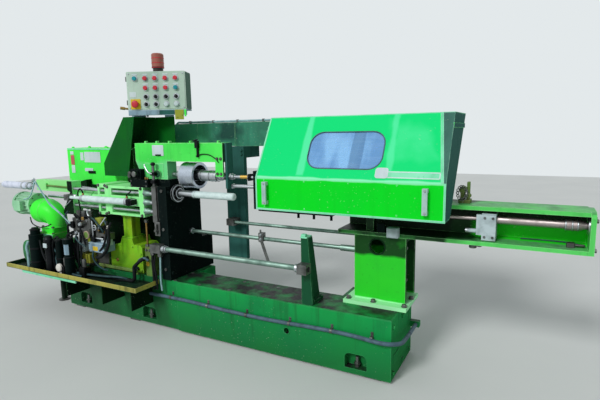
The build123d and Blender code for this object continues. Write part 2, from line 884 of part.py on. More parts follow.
def build_guide_rods():
    """Three guide rods, lowest at the front, with their clamps and end blocks."""
    rear_x0 = post_x0 + post_width / 2
    save_group("guide_rods", [
        bar_x((front_rod_x0, gusset_x0 + front_rod_grip), front_rod_y, front_rod_z, front_rod_radius),
        bar_x((platen_face_x, column_x0), middle_rod_y, middle_rod_z, middle_rod_radius)
        + bar_x((column_x0 - middle_rod_collar_length, column_x0), middle_rod_y, middle_rod_z,
                middle_rod_collar_radius),
        bar_x((rear_x0, column_x0), rear_rod_y, rear_rod_z, rear_rod_radius),
    ])
    clamps = []
    reach = front_rod_radius + clamp_wall
    z = (front_rod_z - reach, front_rod_z + reach)
    left_x = (front_rod_x0, front_rod_x0 + left_clamp_length)
    left = block(left_x, (front_rod_y - reach, bed_front_y), z)
    left -= bar_x(left_x, front_rod_y, front_rod_z, front_rod_radius)
    clamps.append(left)
    right_x = (gusset_x0, gusset_x0 + clamp_length)
    right = block(right_x, (front_rod_y - reach, gusset_front_y), z)
    right -= bar_x(right_x, front_rod_y, front_rod_z, front_rod_radius)
    clamps.append(right)
    rear_reach = rear_rod_radius + clamp_wall
    rear_x = (rear_x0 - clamp_length / 2, rear_x0 + clamp_length / 2)
    rear_z = (rear_rod_z - rear_reach, rear_rod_z + rear_reach)
    rear = block(rear_x, (rear_rod_y - rear_reach, post_front_y), rear_z)
    rear -= bar_x((rear_x0, rear_x[1]), rear_rod_y, rear_rod_z, rear_rod_radius)
    clamps.append(rear)
    hub_y = (middle_rod_y - lever_hub, middle_rod_y + lever_hub)
    lever_x1 = lever_x + lever_length
    lever = block((lever_x, lever_x1), hub_y, (middle_rod_z - lever_hub, middle_rod_z + lever_hub_top))
    lever_points = [
        (lever_x, middle_rod_z),
        (lever_x + lever_width, middle_rod_z),
        (lever_x + lever_width + lever_lean, middle_rod_z - lever_drop),
        (lever_x + lever_lean, middle_rod_z - lever_drop),
    ]
    lever += front_plate(lever_points, (hub_y[0], hub_y[0] + lever_sheet))
    lever -= bar_x((lever_x, lever_x1), middle_rod_y, middle_rod_z, middle_rod_radius)
    clamps.append(lever)
    save_group("rod_clamps", clamps)


def build_gusset_post():
    """The tapered post on the bed's front rail that holds the front rod."""
    top_y1 = gusset_front_y + gusset_top_depth + gusset_shoulder
    web_points = [
        (gusset_front_y, bed_top_z + gusset_foot),
        (gusset_back_y, bed_top_z + gusset_foot),
        (top_y1, gusset_top_z),
        (gusset_front_y, gusset_top_z),
    ]
    middle = (gusset_x0 + gusset_x1) / 2
    post = side_plate(web_points, (middle - gusset_web / 2, middle + gusset_web / 2))
    flange = [
        (gusset_x0, bed_top_z + gusset_foot),
        (gusset_x1, bed_top_z + gusset_foot),
        (middle + gusset_web / 2, gusset_top_z),
        (gusset_x0, gusset_top_z),
    ]
    post += front_plate(flange, (gusset_front_y, gusset_front_y + gusset_flange))
    foot_z = (bed_top_z, bed_top_z + gusset_foot)
    post += block((gusset_x0, gusset_x1), (gusset_front_y, gusset_back_y), foot_z)
    save("gusset_post", post)


def build_column():
    """The column: a foot plate, two flanges and a web."""
    foot_z = (bed_top_z, bed_top_z + foot_thickness)
    foot_x = (column_x0 - foot_margin_left, column_x1 + foot_margin_right)
    column = block(foot_x, (foot_front_y, column_back_y), foot_z)
    body_z = (foot_z[1], beam_base_z)
    front = (column_front_y, column_front_y + column_flange)
    back = (column_back_y - column_flange, column_back_y)
    column += block((column_x0, column_x1), front, body_z)
    column += block((column_x0, column_x1), back, body_z)
    column += block((column_x0, column_x0 + column_web), (front[0], back[1]), body_z)
    column += block((column_x0, column_x1), (front[0], back[1]), (beam_base_z - column_flange, beam_base_z))
    column -= bar_y(column_x0 + column_hole_inset, front, column_hole_z, column_hole_radius)
    save("column", column)


def build_beam():
    """The trough-shaped feed beam with its end plate and the bar's left bearing."""
    y = (beam_front_y, beam_front_y + beam_depth)
    x = (beam_x0, beam_x1)
    beam = block(x, y, (beam_top_z - beam_plate, beam_top_z))
    beam += block(x, y, (beam_base_z, beam_base_z + beam_plate))
    beam += block(x, (y[1] - beam_back_plate, y[1]), (beam_base_z, beam_top_z))
    end_x = (beam_x1, beam_x1 + beam_end_plate)
    end = block(end_x, y, (beam_base_z, beam_top_z))
    top_edges = end.edges().filter_by(Axis.X).group_by(Axis.Z)[-1]
    bearing_x = (bearing_x0, bearing_x0 + bearing_length)
    bearing = block(bearing_x, (screw_y - bearing_half_width, screw_y + bearing_half_width),
                    (beam_base_z + beam_plate, screw_z + bearing_cap))
    bearing -= bar_x(bearing_x, screw_y, screw_z, bar_nose_radius)
    save("feed_beam", beam + fillet(top_edges, beam_end_radius) + bearing)


def build_feed():
    """The fixed stepped bar in the beam, and the block with its link that slides along it."""
    collar_x1 = collar_x0 + collar_length
    profile = [
        (bearing_x0, 0),
        (bearing_x0, bar_nose_radius),
        (feed_bar_x0, bar_nose_radius),
        (feed_bar_x0, screw_radius),
        (collar_x0, screw_radius),
        (collar_x0, collar_radius),
        (collar_x1, collar_radius),
        (beam_x1, collar_tip_radius),
        (beam_x1, 0),
    ]
    save("feed_bar", turned_x(profile, screw_y, screw_z))
    block_x = (feed_block_x0, feed_block_x0 + feed_block_length)
    half = feed_block_width / 2
    base_z = beam_base_z + beam_plate + feed_block_foot_gap
    slider = block(block_x, (screw_y - half, screw_y + half), (base_z, screw_z + feed_block_top))
    link_x = (block_x[0] - link_length, block_x[0])
    link_y = (screw_y - half, screw_y - half + link_depth)
    slider += block(link_x, link_y, (link_base_z, screw_z + feed_block_top))
    slider += bar_x((block_x[0] - link_pin_length, block_x[0]), sum(link_y) / 2, link_pin_z, link_pin_radius)
    slider -= bar_x((link_x[0], block_x[1]), screw_y, screw_z, screw_radius + running_gap)
    save("feed_block", slider)


def build_tail():
    """The tail plate and bracket that carry the rods under the hood."""
    y = (tail_plate_front_y, tail_plate_back_y)
    z = (tail_plate_z, tail_plate_z + tail_plate_thickness)
    plate = block((tail_bracket_x0, beam_x0), y, z)
    tongue_y = (beam_front_y, beam_front_y + beam_depth - beam_back_plate)
    plate += block((beam_x0, beam_x0 + tail_tongue), tongue_y, z)
    bracket_x = (tail_bracket_x0, tail_bracket_x0 + tail_bracket_length)
    bracket_y = (ram_axis_y - tail_bracket_front, ram_axis_y + tail_bracket_back)
    bracket = block(bracket_x, bracket_y, (z[1], tail_bracket_top_z))
    plate += bracket
    for x in stud_xs:
        plate += bar_z(x, stud_y, (tail_plate_z - stud_length, tail_plate_z), stud_radius)
    save("tail_bracket", plate)
    hanger_x1 = hanger_x0 + hanger_length
    rods = [
        bar_x((hanger_x1, tail_bracket_x0), ram_axis_y + tail_rod_offset, tail_rod_z, tail_rod_radius),
        bar_x((hanger_x1, tail_bracket_x0), ram_axis_y, spindle_axis_z, drive_rod_radius),
    ]
    save_group("tail_rods", rods)


def hood_profile(inset):
    """The hood's outline in (y, z), set in by a sheet thickness at each fold."""
    ridge_fold = atan2(hood_brow_y - hood_front_y, hood_top_z - hood_ridge_z)
    brow_fold = atan2(hood_top_z - hood_ridge_z, hood_brow_y - hood_front_y)
    return [
        (hood_front_y + inset, hood_base_z),
        (hood_front_y + inset, hood_ridge_z - inset * tan(ridge_fold / 2)),
        (hood_brow_y + inset * tan(brow_fold / 2), hood_top_z - inset),
        (hood_back_y, hood_top_z - inset),
    ]


def build_hood():
    """The folded hood with its window, two handles and hinge knuckles."""
    outer = hood_profile(0) + [(hood_heel_y, hood_heel_z), (hood_heel_y - hood_heel_step, hood_base_z)]
    shell = side_plate(outer, (hood_x0, hood_x1))
    room_outline = hood_profile(hood_sheet)[1:3]
    room_outline += [
        (hood_back_y + hood_cutter_reach, hood_top_z - hood_sheet),
        (hood_back_y + hood_cutter_reach, hood_base_z - hood_cutter_reach),
        (hood_front_y + hood_sheet, hood_base_z - hood_cutter_reach),
    ]
    shell -= side_plate(room_outline, (hood_x0 + hood_sheet, hood_x1 - hood_sheet))
    plane = Plane(
        origin=(hood_window_centre_x, hood_front_y, hood_ridge_z),
        x_dir=(1, 0, 0),
        z_dir=(0, -(hood_top_z - hood_ridge_z), hood_brow_y - hood_front_y),
    )
    middle = Pos(0, hood_window_rise)
    outline = middle * RectangleRounded(hood_window_width, hood_window_height, hood_window_corner)
    opening = extrude(plane * outline, amount=hood_sheet * hood_cut_share, both=True)
    shell -= opening
    save("hood_shell", shell)
    pane_size = (hood_window_width + pane_overlap, hood_window_height + pane_overlap)
    pane_outline = middle * RectangleRounded(*pane_size, hood_window_corner + pane_overlap / 2)
    inside = plane.offset(-hood_sheet)
    save("hood_window", extrude(inside * pane_outline, amount=-hood_window_thickness))
    handles = []
    middle_z = (hood_base_z + hood_ridge_z) / 2 + handle_rise
    z = (middle_z - handle_height / 2, middle_z + handle_height / 2)
    for x in handle_xs:
        grip_x = (x - handle_width / 2, x + handle_width / 2)
        grip_y = (hood_front_y - handle_stand, hood_front_y - handle_stand + handle_thickness)
        grip = block(grip_x, grip_y, z)
        for foot_z in ((z[0], z[0] + handle_foot), (z[1] - handle_foot, z[1])):
            grip += block(grip_x, (grip_y[0], hood_front_y), foot_z)
        handles.append(grip)
    save_group("hood_handles", handles)


def build_hood_hinges():
    """Hinges along the rear edge: pinned leaves on the cover, knuckles on the hood."""
    fixed = []
    moving = []
    half = hinge_knuckle_length / 2
    hole = hinge_pin_radius + running_gap
    for x in hinge_xs:
        knuckle = bar_x((x - half, x - sliding_gap), hinge_y, hinge_z, hinge_knuckle_radius)
        knuckle += bar_x((x - half, x + half), hinge_y, hinge_z, hinge_pin_radius)
        knuckle += block((x - half, x - sliding_gap), (hinge_y, cover_front_y + hinge_leaf_reach),
                         (cover_top_z, cover_top_z + hinge_leaf))
        fixed.append(knuckle)
        swing = bar_x((x + sliding_gap, x + half), hinge_y, hinge_z, hinge_knuckle_radius)
        swing += block((x + sliding_gap, x + half), (hood_back_y - hinge_leaf_reach, hinge_y),
                       (hood_top_z, hood_top_z + hinge_leaf))
        swing -= bar_x((x + sliding_gap, x + half), hinge_y, hinge_z, hole)
        moving.append(swing)
    save_group("hinge_pins", fixed)
    save_group("hood_knuckles", moving)


def build_tray():
    """The drip tray with its lip and two pipe legs, the oil tank, and the pumps and filter in it."""
    floor_z = (tray_floor_z - tray_sheet, tray_floor_z)
    tray = block((tray_x0, tray_x1), (tray_front_y, bed_recess_y), floor_z)
    tray += block((tray_x0, bed_left_x), (tray_front_y, bed_back_y), floor_z)
    lip_z = (floor_z[0], tray_top_z)
    tray += block((tray_x0, tray_x1), (tray_front_y, tray_front_y + tray_sheet), lip_z)
    tray += block((tray_x1 - tray_sheet, tray_x1), (tray_front_y, bed_recess_y), lip_z)
    tray += block((tray_x0, tray_x0 + tray_sheet), (tray_front_y, bed_back_y), lip_z)
    tray += block((tray_x0, bed_left_x), (bed_back_y - tray_sheet, bed_back_y), lip_z)
    for y in (-tray_leg_spread, tray_leg_spread):
        tray += bar_z(tray_leg_x, y, (0, floor_z[0]), tray_leg_radius)
    save("drip_tray", tray)

    tank_x = (tank_x0, bed_left_x - tank_end_gap)
    tank = block(tank_x, (tank_front_y, tank_back_y), (tray_floor_z, tank_top_z))
    save("oil_tank", fillet(tank.edges().filter_by(Axis.Y), tank_corner))

    big = bar_z(big_pump_x, pumps_y, (tray_floor_z, big_pump_top_z), big_pump_radius)
    big += bar_z(big_pump_x, pumps_y, (big_pump_top_z, big_pump_neck_top_z), big_pump_neck_radius)
    small = bar_z(small_pump_x, pumps_y, (tray_floor_z, small_pump_top_z), small_pump_radius)
    strainer = bar_z(filter_x, pumps_y, (tray_floor_z, filter_bowl_top_z), filter_bowl_radius)
    strainer += bar_z(filter_x, pumps_y, (filter_bowl_top_z, filter_top_z), filter_radius)
    strainer += bar_z(filter_x, pumps_y, (filter_top_z, filter_head_top_z), filter_head_radius)
    save_group("hydraulic_pumps", [big, small, strainer])


def build_pump_set():
    """The finned motor, the round bell with its tapering elbow and flanges, and the accumulator."""
    motor_x1 = motor_x0 + motor_length
    outer = motor_core_radius + motor_fin_height
    motor = bar_x((motor_x0, motor_x1), pump_axis_y, motor_axis_z, motor_core_radius)
    motor += bar_x((motor_x0, motor_x0 + motor_cap_length), pump_axis_y, motor_axis_z, outer)
    motor += bar_x((motor_x1 - motor_cap_length, motor_x1), pump_axis_y, motor_axis_z, outer)
    fin_x = (motor_x0 + motor_cap_length, motor_x1 - motor_cap_length)
    half = motor_fin_thickness / 2
    fin = block(fin_x, (-half, half), (motor_core_radius - motor_fin_height, outer))
    for step in range(motor_fins):
        motor += Pos(0, pump_axis_y, motor_axis_z) * Rot(step * 360 / motor_fins, 0, 0) * fin
    save("pump_motor", motor)

    bell_x1 = motor_x1 + bell_length
    bell = bar_x((motor_x1, bell_x1), pump_axis_y, bell_axis_z, bell_radius)
    bell = fillet(bell.edges().group_by(Axis.X)[0], bell_round)

    sections = []
    for step in range(elbow_steps + 1):
        turn = pi / 2 * step / elbow_steps
        middle = (bell_x1 + elbow_bend * sin(turn), pump_axis_y, bell_axis_z - elbow_bend * (1 - cos(turn)))
        radius = elbow_start_radius + (elbow_end_radius - elbow_start_radius) * step / elbow_steps
        plane = Plane(origin=middle, x_dir=(0, 1, 0), z_dir=(cos(turn), 0, -sin(turn)))
        sections.append(plane * Circle(radius))
    housing = bell + loft(sections, ruled=True)
    leg_x = bell_x1 + elbow_bend
    housing += bar_z(leg_x, pump_axis_y, (flange_top_z, bell_axis_z - elbow_bend), elbow_end_radius)
    flange_x = leg_x + flange_shift[0]
    flange_y = pump_axis_y + flange_shift[1]
    top_z = flange_top_z
    for length, width in (upper_flange, lower_flange):
        middle = Pos(flange_x, flange_y, top_z - flange_plate)
        plate = middle * RectangleRounded(length, width, flange_corner)
        housing += extrude(plate, amount=flange_plate)
        top_z -= flange_plate
    foot_x1 = bed_left_x - tank_end_gap
    foot_y = (pump_axis_y - flange_foot_width / 2, pump_axis_y + flange_foot_width / 2)
    housing += block((foot_x1 - flange_foot_length, foot_x1), foot_y, (tank_top_z, top_z))
    save("pump_housing", housing)

    profile = [
        (accumulator_x0, 0),
        (accumulator_x0, accumulator_neck_radius),
        (accumulator_x0 + accumulator_neck, accumulator_radius),
        (accumulator_x1 - accumulator_neck, accumulator_radius),
        (accumulator_x1, accumulator_neck_radius),
        (accumulator_x1, 0),
    ]
    accumulator = turned_x(profile, pump_axis_y, accumulator_z)
    saddle_y = (pump_axis_y - saddle_width / 2, pump_axis_y + saddle_width / 2)
    saddle_z = (motor_axis_z + outer + seat_gap, accumulator_z)
    for x in saddle_xs:
        accumulator += block((x, x + saddle_length), saddle_y, saddle_z)
    save("accumulator", accumulator)


def build_valves():
    """The valve stand with its manifold, valves, gauge and cooler, and the junction box on it."""
    plate_y = (stand_back_y - stand_sheet, stand_back_y)
    front_y = plate_y[0]
    stand = block((stand_x0, stand_x1), plate_y, (bed_top_z, stand_top_z))
    stand += block(manifold_x, (manifold_front_y, front_y), manifold_z)
    middle_y = (manifold_front_y + front_y) / 2
    for x in valve_xs:
        stand += bar_z(x, middle_y, (manifold_z[1], manifold_z[1] + valve_height), valve_radius)
    stand += bar_y(gauge_x, (manifold_front_y - gauge_stand, manifold_front_y), gauge_z, gauge_radius)
    stand += block(cooler_x, (manifold_front_y, front_y), cooler_z)
    save("valve_stand", stand)
    junction = block(junction_x, (junction_front_y, front_y), junction_z)
    save("junction_box", fillet(junction.edges().filter_by(Axis.Y), junction_corner))


def build_gearcase():
    """The gearcase with its raised middle and neck, and the pillar beside it."""
    hump_x0, hump_x1 = gearcase_hump_x
    points = [
        (gearcase_x0, bed_top_z),
        (gearcase_x0, gearcase_shoulder_z),
        (gearcase_x0 + gearcase_chamfer, gearcase_shoulder_z + gearcase_chamfer),
        (hump_x0 - gearcase_hump_slope, gearcase_side_z),
        (hump_x0, gearcase_hump_z),
        (hump_x1, gearcase_hump_z),
        (hump_x1 + gearcase_hump_slope, gearcase_side_z),
        (gearcase_x1 - gearcase_chamfer, gearcase_side_z),
        (gearcase_x1, gearcase_side_z - gearcase_chamfer),
        (gearcase_x1, bed_top_z),
    ]
    case = front_plate(points, gearcase_y)
    case += block(neck_x, neck_y, (gearcase_hump_z, crosshead_base_z))
    save("gear_housing", case)
    save("front_pillar", block(pillar_x, pillar_y, (bed_top_z, pillar_top_z)))


def build_pilot_valve():
    """The dark pilot valve on the crosshead, with two round knobs."""
    valve = block(pilot_body_x, pilot_y, (crosshead_top_z, pilot_body_top_z))
    valve += block(pilot_head_x, pilot_y, (pilot_body_top_z, pilot_head_top_z))
    for x, z, radius in pilot_knobs:
        valve += bar_y(x, (pilot_y[0] - pilot_knob_stand, pilot_y[0]), z, radius)
    save("pilot_valve", valve)


def build_pipes():
    """The return pipe in the tray, and the supply hose held along the bed's front."""
    route = FilletPolyline(*return_pipe_points, radius=return_pipe_bend)
    save("return_pipe", sweep(Plane(route ^ 0) * Circle(return_pipe_radius), path=route))

    points = [Vector(*point) for point in hose_points]
    radii = []
    for before, corner, after in zip(points, points[1:], points[2:]):
        turn = (corner - before).get_angle(after - corner) * pi / 180
        shorter = min((corner - before).length, (after - corner).length)
        radii.append(hose_bend_share * shorter / tan(turn / 2))
    print("supply hose bend radii", [round(r) for r in radii])
    route = FilletPolyline(*hose_points, radius=radii)
    hose = sweep(Plane(route ^ 0) * Circle(hose_radius), path=route)
    section = pi * hose_radius ** 2
    print("supply hose volume", round(hose.volume), "section times length", round(section * route.length))
    save("supply_hose", hose)


build_bed()
build_platen()
build_ram()
build_head()
build_side_cylinder()
build_upright()
build_arm()
build_spindle()
build_guard()
build_control_station()
build_rear_cover()
build_guide_rods()
build_gusset_post()
build_column()
build_beam()
build_feed()
build_tail()
build_hood()
build_hood_hinges()
build_tray()
build_pump_set()
build_valves()
build_gearcase()
build_pilot_valve()
build_pipes()
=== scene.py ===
from functools import partial
from math import cos, pi, radians, sin

import bpy
import numpy as np
from mathutils import Matrix, Vector


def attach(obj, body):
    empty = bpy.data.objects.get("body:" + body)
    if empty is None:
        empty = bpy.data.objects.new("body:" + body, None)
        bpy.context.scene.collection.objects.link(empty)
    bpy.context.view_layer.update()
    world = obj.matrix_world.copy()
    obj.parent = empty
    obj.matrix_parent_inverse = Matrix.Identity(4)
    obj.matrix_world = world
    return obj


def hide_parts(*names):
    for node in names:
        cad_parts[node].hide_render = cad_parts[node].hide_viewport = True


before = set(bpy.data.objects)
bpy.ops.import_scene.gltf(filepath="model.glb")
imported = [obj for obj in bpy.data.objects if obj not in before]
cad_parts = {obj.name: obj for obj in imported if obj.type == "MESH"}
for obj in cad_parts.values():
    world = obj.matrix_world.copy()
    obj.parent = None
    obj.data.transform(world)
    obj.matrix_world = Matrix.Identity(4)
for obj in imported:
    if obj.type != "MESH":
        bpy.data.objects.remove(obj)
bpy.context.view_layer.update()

# The view: focal length in pixels of a picture 600 pixels wide, and the lens's place and turn
PICTURE_WIDTH = 600
FOCAL_PIXELS = 452.2
SENSOR_WIDTH = 36.0
CAMERA_PLACE = (2.2575, -2.7706, 1.55)
CAMERA_YAW = radians(28.026)
CAMERA_PITCH = radians(8.5525)
CAMERA_ROLL = radians(0.938)

# Places in the frame, millimetres, repeated from the part
BED_TOP = 415
BED_FRONT = -240
BED_RECESS = -228
BED_BACK = 240
# Lines along X, as (y, z)
RAM_LINE = (-130, 1092)
SPINDLE_LINE = (-130, 1240)
TAIL_ROD_LINE = (-110, 1170)
CYLINDER_LINE = (-122.5, 990)
SIDE_CYLINDER_LINE = (-272, 1022)
FRONT_ROD_LINE = (-262, 672)
FEED_LINE = (65, 1023)
MOTOR_LINE = (-235, 925)
ELBOW_LINE = (-235, 870)
VESSEL_LINE = (-235, 1092)
# The row of canisters on the tray, as y
CANISTER_Y = -402
STATION_CORNER = (-817, -30, 1754)
STATION_TURN = radians(25)
STATION_WIDTH, STATION_HEIGHT = 496, 311
HOOD_LEFT, HOOD_RIGHT = 575, 1812
HOOD_FRONT = -240
HOOD_BASE, HOOD_RIDGE, HOOD_TOP = 1037, 1255, 1650
HOOD_BROW = -20
HOOD_BACK = 386
WINDOW_X, WINDOW_RISE = 1180, 205
WINDOW_WIDTH, WINDOW_HEIGHT, WINDOW_CORNER = 500, 256, 86
# The pane's band of darker painted reflection, from x to x
DARK_REFLECTION_BAND = (1226, 1296)

# The studio: half the floor's side in metres, the sky's strength as light and as seen, and the key light
FLOOR_HALF = 14.0
SKY_LIGHT, SKY_SEEN = 0.5, 0.9
KEY_STRENGTH = 1.95
KEY_SOFTNESS = radians(16)
KEY_TURN = (radians(54), 0, radians(-14))


def add_camera():
    """The lens looks along yaw and down by pitch, and its right and up vectors are turned by roll."""
    ahead = (-sin(CAMERA_YAW) * cos(CAMERA_PITCH), cos(CAMERA_YAW) * cos(CAMERA_PITCH), -sin(CAMERA_PITCH))
    forward = Vector(ahead)
    right = Vector((cos(CAMERA_YAW), sin(CAMERA_YAW), 0))
    down = forward.cross(right)
    right_rolled = cos(CAMERA_ROLL) * right + sin(CAMERA_ROLL) * down
    down_rolled = cos(CAMERA_ROLL) * down - sin(CAMERA_ROLL) * right
    columns = Matrix((right_rolled, -down_rolled, -forward)).transposed()
    data = bpy.data.cameras.new("camera")
    data.sensor_width = SENSOR_WIDTH
    data.lens = FOCAL_PIXELS * SENSOR_WIDTH / PICTURE_WIDTH
    camera = bpy.data.objects.new("camera", data)
    camera.matrix_world = Matrix.Translation(CAMERA_PLACE) @ columns.to_4x4()
    bpy.context.scene.collection.objects.link(camera)
    bpy.context.scene.camera = camera


# Materials

def linear(code):
    """sRGB hex to linear: c / 12.92 up to 0.04045, else ((c + 0.055) / 1.055) ^ 2.4."""
    channels = np.array([int(code[i:i + 2], 16) for i in (1, 3, 5)]) / 255
    curve = np.where(channels <= 0.04045, channels / 12.92, ((channels + 0.055) / 1.055) ** 2.4)
    return (*curve.tolist(), 1.0)


# The shader nodes used below, by short names
NOISE, RANGE, MATH, MIX = "ShaderNodeTexNoise", "ShaderNodeMapRange", "ShaderNodeMath", "ShaderNodeMix"
SPLIT, VECTOR, MAPPING = "ShaderNodeSeparateXYZ", "ShaderNodeVectorMath", "ShaderNodeMapping"


def add_node(tree, kind, sockets, out=0, **settings):
    """Adds one node with its settings and gives back its output numbered out. An input takes another node's
    output, a number, a vector, or a hex colour, which is made linear."""
    made = tree.nodes.new(kind)
    for key, value in settings.items():
        setattr(made, key, value)
    for key, value in sockets.items():
        if isinstance(value, bpy.types.NodeSocket):
            tree.links.new(value, made.inputs[key])
        else:
            made.inputs[key].default_value = linear(value) if isinstance(value, str) else value
    return made.outputs[out]


def blank_material(name, specular=0.5):
    """A material, its Principled shader, its node maker, and its object coordinates in metres."""
    material = bpy.data.materials.new(name)
    material.use_nodes = True
    tree = material.node_tree
    shader = tree.nodes["Principled BSDF"]
    shader.inputs["Specular IOR Level"].default_value = specular
    node = partial(add_node, tree)
    return material, shader, node, node("ShaderNodeTexCoord", {}, out=3)


def edge_wear_and_highlight(node, width_mm):
    """1 where the surface turns within width_mm: from the product of the rounded normal and the true normal."""
    rounded = node("ShaderNodeBevel", {"Radius": width_mm / 1000}, samples=4)
    true = node("ShaderNodeNewGeometry", {}, out=1)
    product = node(VECTOR, {0: rounded, 1: true}, out=1, operation="DOT_PRODUCT")
    return node(RANGE, {"Value": product, "From Min": 0.985, "From Max": 0.8})


def zone(node, where, low, high, blur_mm, ragged):
    """1 inside the box between two corners in millimetres, 0 from blur_mm outside it: the largest of the three
    distances beyond the box's half sizes, shifted by noise so that the line is ragged."""
    low, high = np.array(low) / 1000, np.array(high) / 1000
    away = node(VECTOR, {0: where, 1: (low + high) / 2}, operation="SUBTRACT")
    away = node(VECTOR, {0: away}, operation="ABSOLUTE")
    away = node(VECTOR, {0: away, 1: (high - low) / 2}, operation="SUBTRACT")
    x, y, z = node(SPLIT, {0: away}).node.outputs
    beyond = node(MATH, {0: node(MATH, {0: x, 1: y}, operation="MAXIMUM"), 1: z}, operation="MAXIMUM")
    blur = blur_mm / 1000
    shift = node(RANGE, {"Value": ragged, "From Min": 0.3, "From Max": 0.7, "To Min": -blur, "To Max": blur})
    beyond = node(MATH, {0: beyond, 1: shift}, operation="ADD")
    return node(RANGE, {"Value": beyond, "From Min": blur, "From Max": 0.0})


def finish_surface(node, shader, colour, roughness, height, depth_mm):
    """Feeds the shader its colour and roughness, and a bump of depth_mm."""
    links = shader.id_data.links
    links.new(colour, shader.inputs["Base Color"])
    links.new(roughness, shader.inputs["Roughness"])
    bump = node("ShaderNodeBump", {"Height": height, "Distance": depth_mm / 1000, "Strength": 0.6})
    links.new(bump, shader.inputs["Normal"])


# The pale undercoat that shows where a flake of enamel is gone
UNDERCOAT = "#c7d8c0"


def machine_enamel(name, paint, shade, dirt="#16180f", edge="#a9efa6", edge_share=0.6, edge_mm=7,
                   streaks=0.35, low=None, low_share=0.7, top="#4c5046", top_share=0.0, chips=0.5,
                   gloss=0.42, specular=0.2, side=None, zones=()):
    """Enamel brushed over castings and sheet and resprayed in parts: patches of two shades about 320 mm across,
    oil runs 60 mm wide, spatter of 22 mm, pale edges that are partly rubbed wear and partly a painted highlight,
    and flakes of 11 mm. low is the height range in metres that oil has climbed, top the colour of upward faces,
    worn, stained and dusty on some parts and a painted highlight on others, side a painted shade on the faces
    towards +X, which also catch less of the gloss, and zones are boxes of another colour, some another coat and
    others painted shade, shadow, light and reflection: (lowest corner, highest corner, colour, share, blur)."""
    material, shader, node, where = blank_material(name, specular)
    height_z = node(SPLIT, {0: where}, out=2)
    facing = node(SPLIT, {0: where.node.outputs["Normal"]}).node.outputs
    patches = node(NOISE, {"Vector": where, "Scale": 1000 / 320, "Detail": 4.0})
    blotches = node(NOISE, {"Vector": where, "Scale": 1000 / 45, "Detail": 4.0})
    grain = node(NOISE, {"Vector": where, "Scale": 1000 / 14, "Detail": 3.0})
    share = node(RANGE, {"Value": patches, "From Min": 0.38, "From Max": 0.66})
    colour = node(MIX, {0: share, 6: paint, 7: shade}, out=2, data_type="RGBA")
    plus_x = node(RANGE, {"Value": facing[0], "From Min": 0.6, "From Max": 0.9})
    if side:
        colour = node(MIX, {0: plus_x, 6: colour, 7: side}, out=2, data_type="RGBA")
    tall = node(MAPPING, {"Vector": where, "Scale": (1.0, 1.0, 1 / 14)})
    runs = node(NOISE, {"Vector": tall, "Scale": 1000 / 60, "Detail": 4.0})
    soil = node(RANGE, {"Value": runs, "From Min": 0.52, "From Max": 0.74, "To Max": streaks})
    if low:
        drift = node(RANGE, {"Value": patches, "From Min": 0.3, "From Max": 0.7, "To Min": -0.12, "To Max": 0.12})
        drift = node(MATH, {0: height_z, 1: drift}, operation="ADD")
        climbed = node(RANGE, {"Value": drift, "From Min": low[1], "From Max": low[0], "To Max": low_share})
        soil = node(MATH, {0: soil, 1: climbed}, operation="MAXIMUM")
    spots = node(NOISE, {"Vector": where, "Scale": 1000 / 22, "Detail": 2.0})
    spatter = node(RANGE, {"Value": spots, "From Min": 0.66, "From Max": 0.72, "To Max": 0.55 * streaks + 0.1})
    soil = node(MATH, {0: soil, 1: spatter}, operation="MAXIMUM")
    colour = node(MIX, {0: soil, 6: colour, 7: dirt}, out=2, data_type="RGBA")
    # Upward faces: worn, stained and dusty on some parts, a painted highlight on the pale green tops of others
    if top_share:
        flat = node(RANGE, {"Value": facing[2], "From Min": 0.6, "From Max": 0.9})
        rubbed = node(NOISE, {"Vector": where, "Scale": 1000 / 120, "Detail": 5.0})
        rubbed = node(RANGE, {"Value": rubbed, "From Min": 0.25, "From Max": 0.6, "To Max": top_share})
        top_wear_and_highlight_mask = node(MATH, {0: flat, 1: rubbed}, operation="MULTIPLY")
        top_stain_and_highlight = node(MIX, {0: blotches, 6: top, 7: dirt}, out=2, data_type="RGBA")
        colour = node(MIX, {0: top_wear_and_highlight_mask, 6: colour, 7: top_stain_and_highlight}, out=2, data_type="RGBA")
    # Zones: another coat on some parts, and painted shade, shadow, light and reflection on others
    for lowest, highest, coat, zone_share, blur_mm in zones:
        inside = zone(node, where, lowest, highest, blur_mm, patches)
        inside = node(MATH, {0: inside, 1: zone_share}, operation="MULTIPLY")
        colour = node(MIX, {0: inside, 6: colour, 7: coat}, out=2, data_type="RGBA")
    # Pale edges: partly rubbed wear, partly a painted highlight
    patchy = node(RANGE, {"Value": blotches, "From Min": 0.3, "From Max": 0.55, "To Max": edge_share})
    rubbed = node(MATH, {0: edge_wear_and_highlight(node, edge_mm), 1: patchy}, operation="MULTIPLY")
    colour = node(MIX, {0: rubbed, 6: colour, 7: edge}, out=2, data_type="RGBA")
    flecks = node(NOISE, {"Vector": where, "Scale": 1000 / 11, "Detail": 2.0})
    flecks = node(RANGE, {"Value": flecks, "From Min": 0.70, "From Max": 0.73})
    flaking = node(RANGE, {"Value": patches, "From Min": 0.45, "From Max": 0.6, "To Max": chips})
    flakes = node(MATH, {0: flecks, 1: flaking}, operation="MULTIPLY")
    colour = node(MIX, {0: flakes, 6: colour, 7: UNDERCOAT}, out=2, data_type="RGBA")
    rough = node(RANGE, {"Value": soil, "To Min": gloss, "To Max": gloss + 0.3})
    rough = node(MATH, {0: rough, 1: node(MATH, {0: plus_x, 1: 0.4}, operation="MULTIPLY")}, operation="ADD")
    dull = node(RANGE, {"Value": grain, "From Min": 0.3, "From Max": 0.7, "To Max": 0.12})
    rough = node(MATH, {0: rough, 1: dull}, operation="ADD", use_clamp=True)
    relief = node(MATH, {0: node(MATH, {0: grain, 1: 0.5}, operation="MULTIPLY"), 1: flakes}, operation="SUBTRACT")
    finish_surface(node, shader, colour, rough, relief, 0.8)
    return material


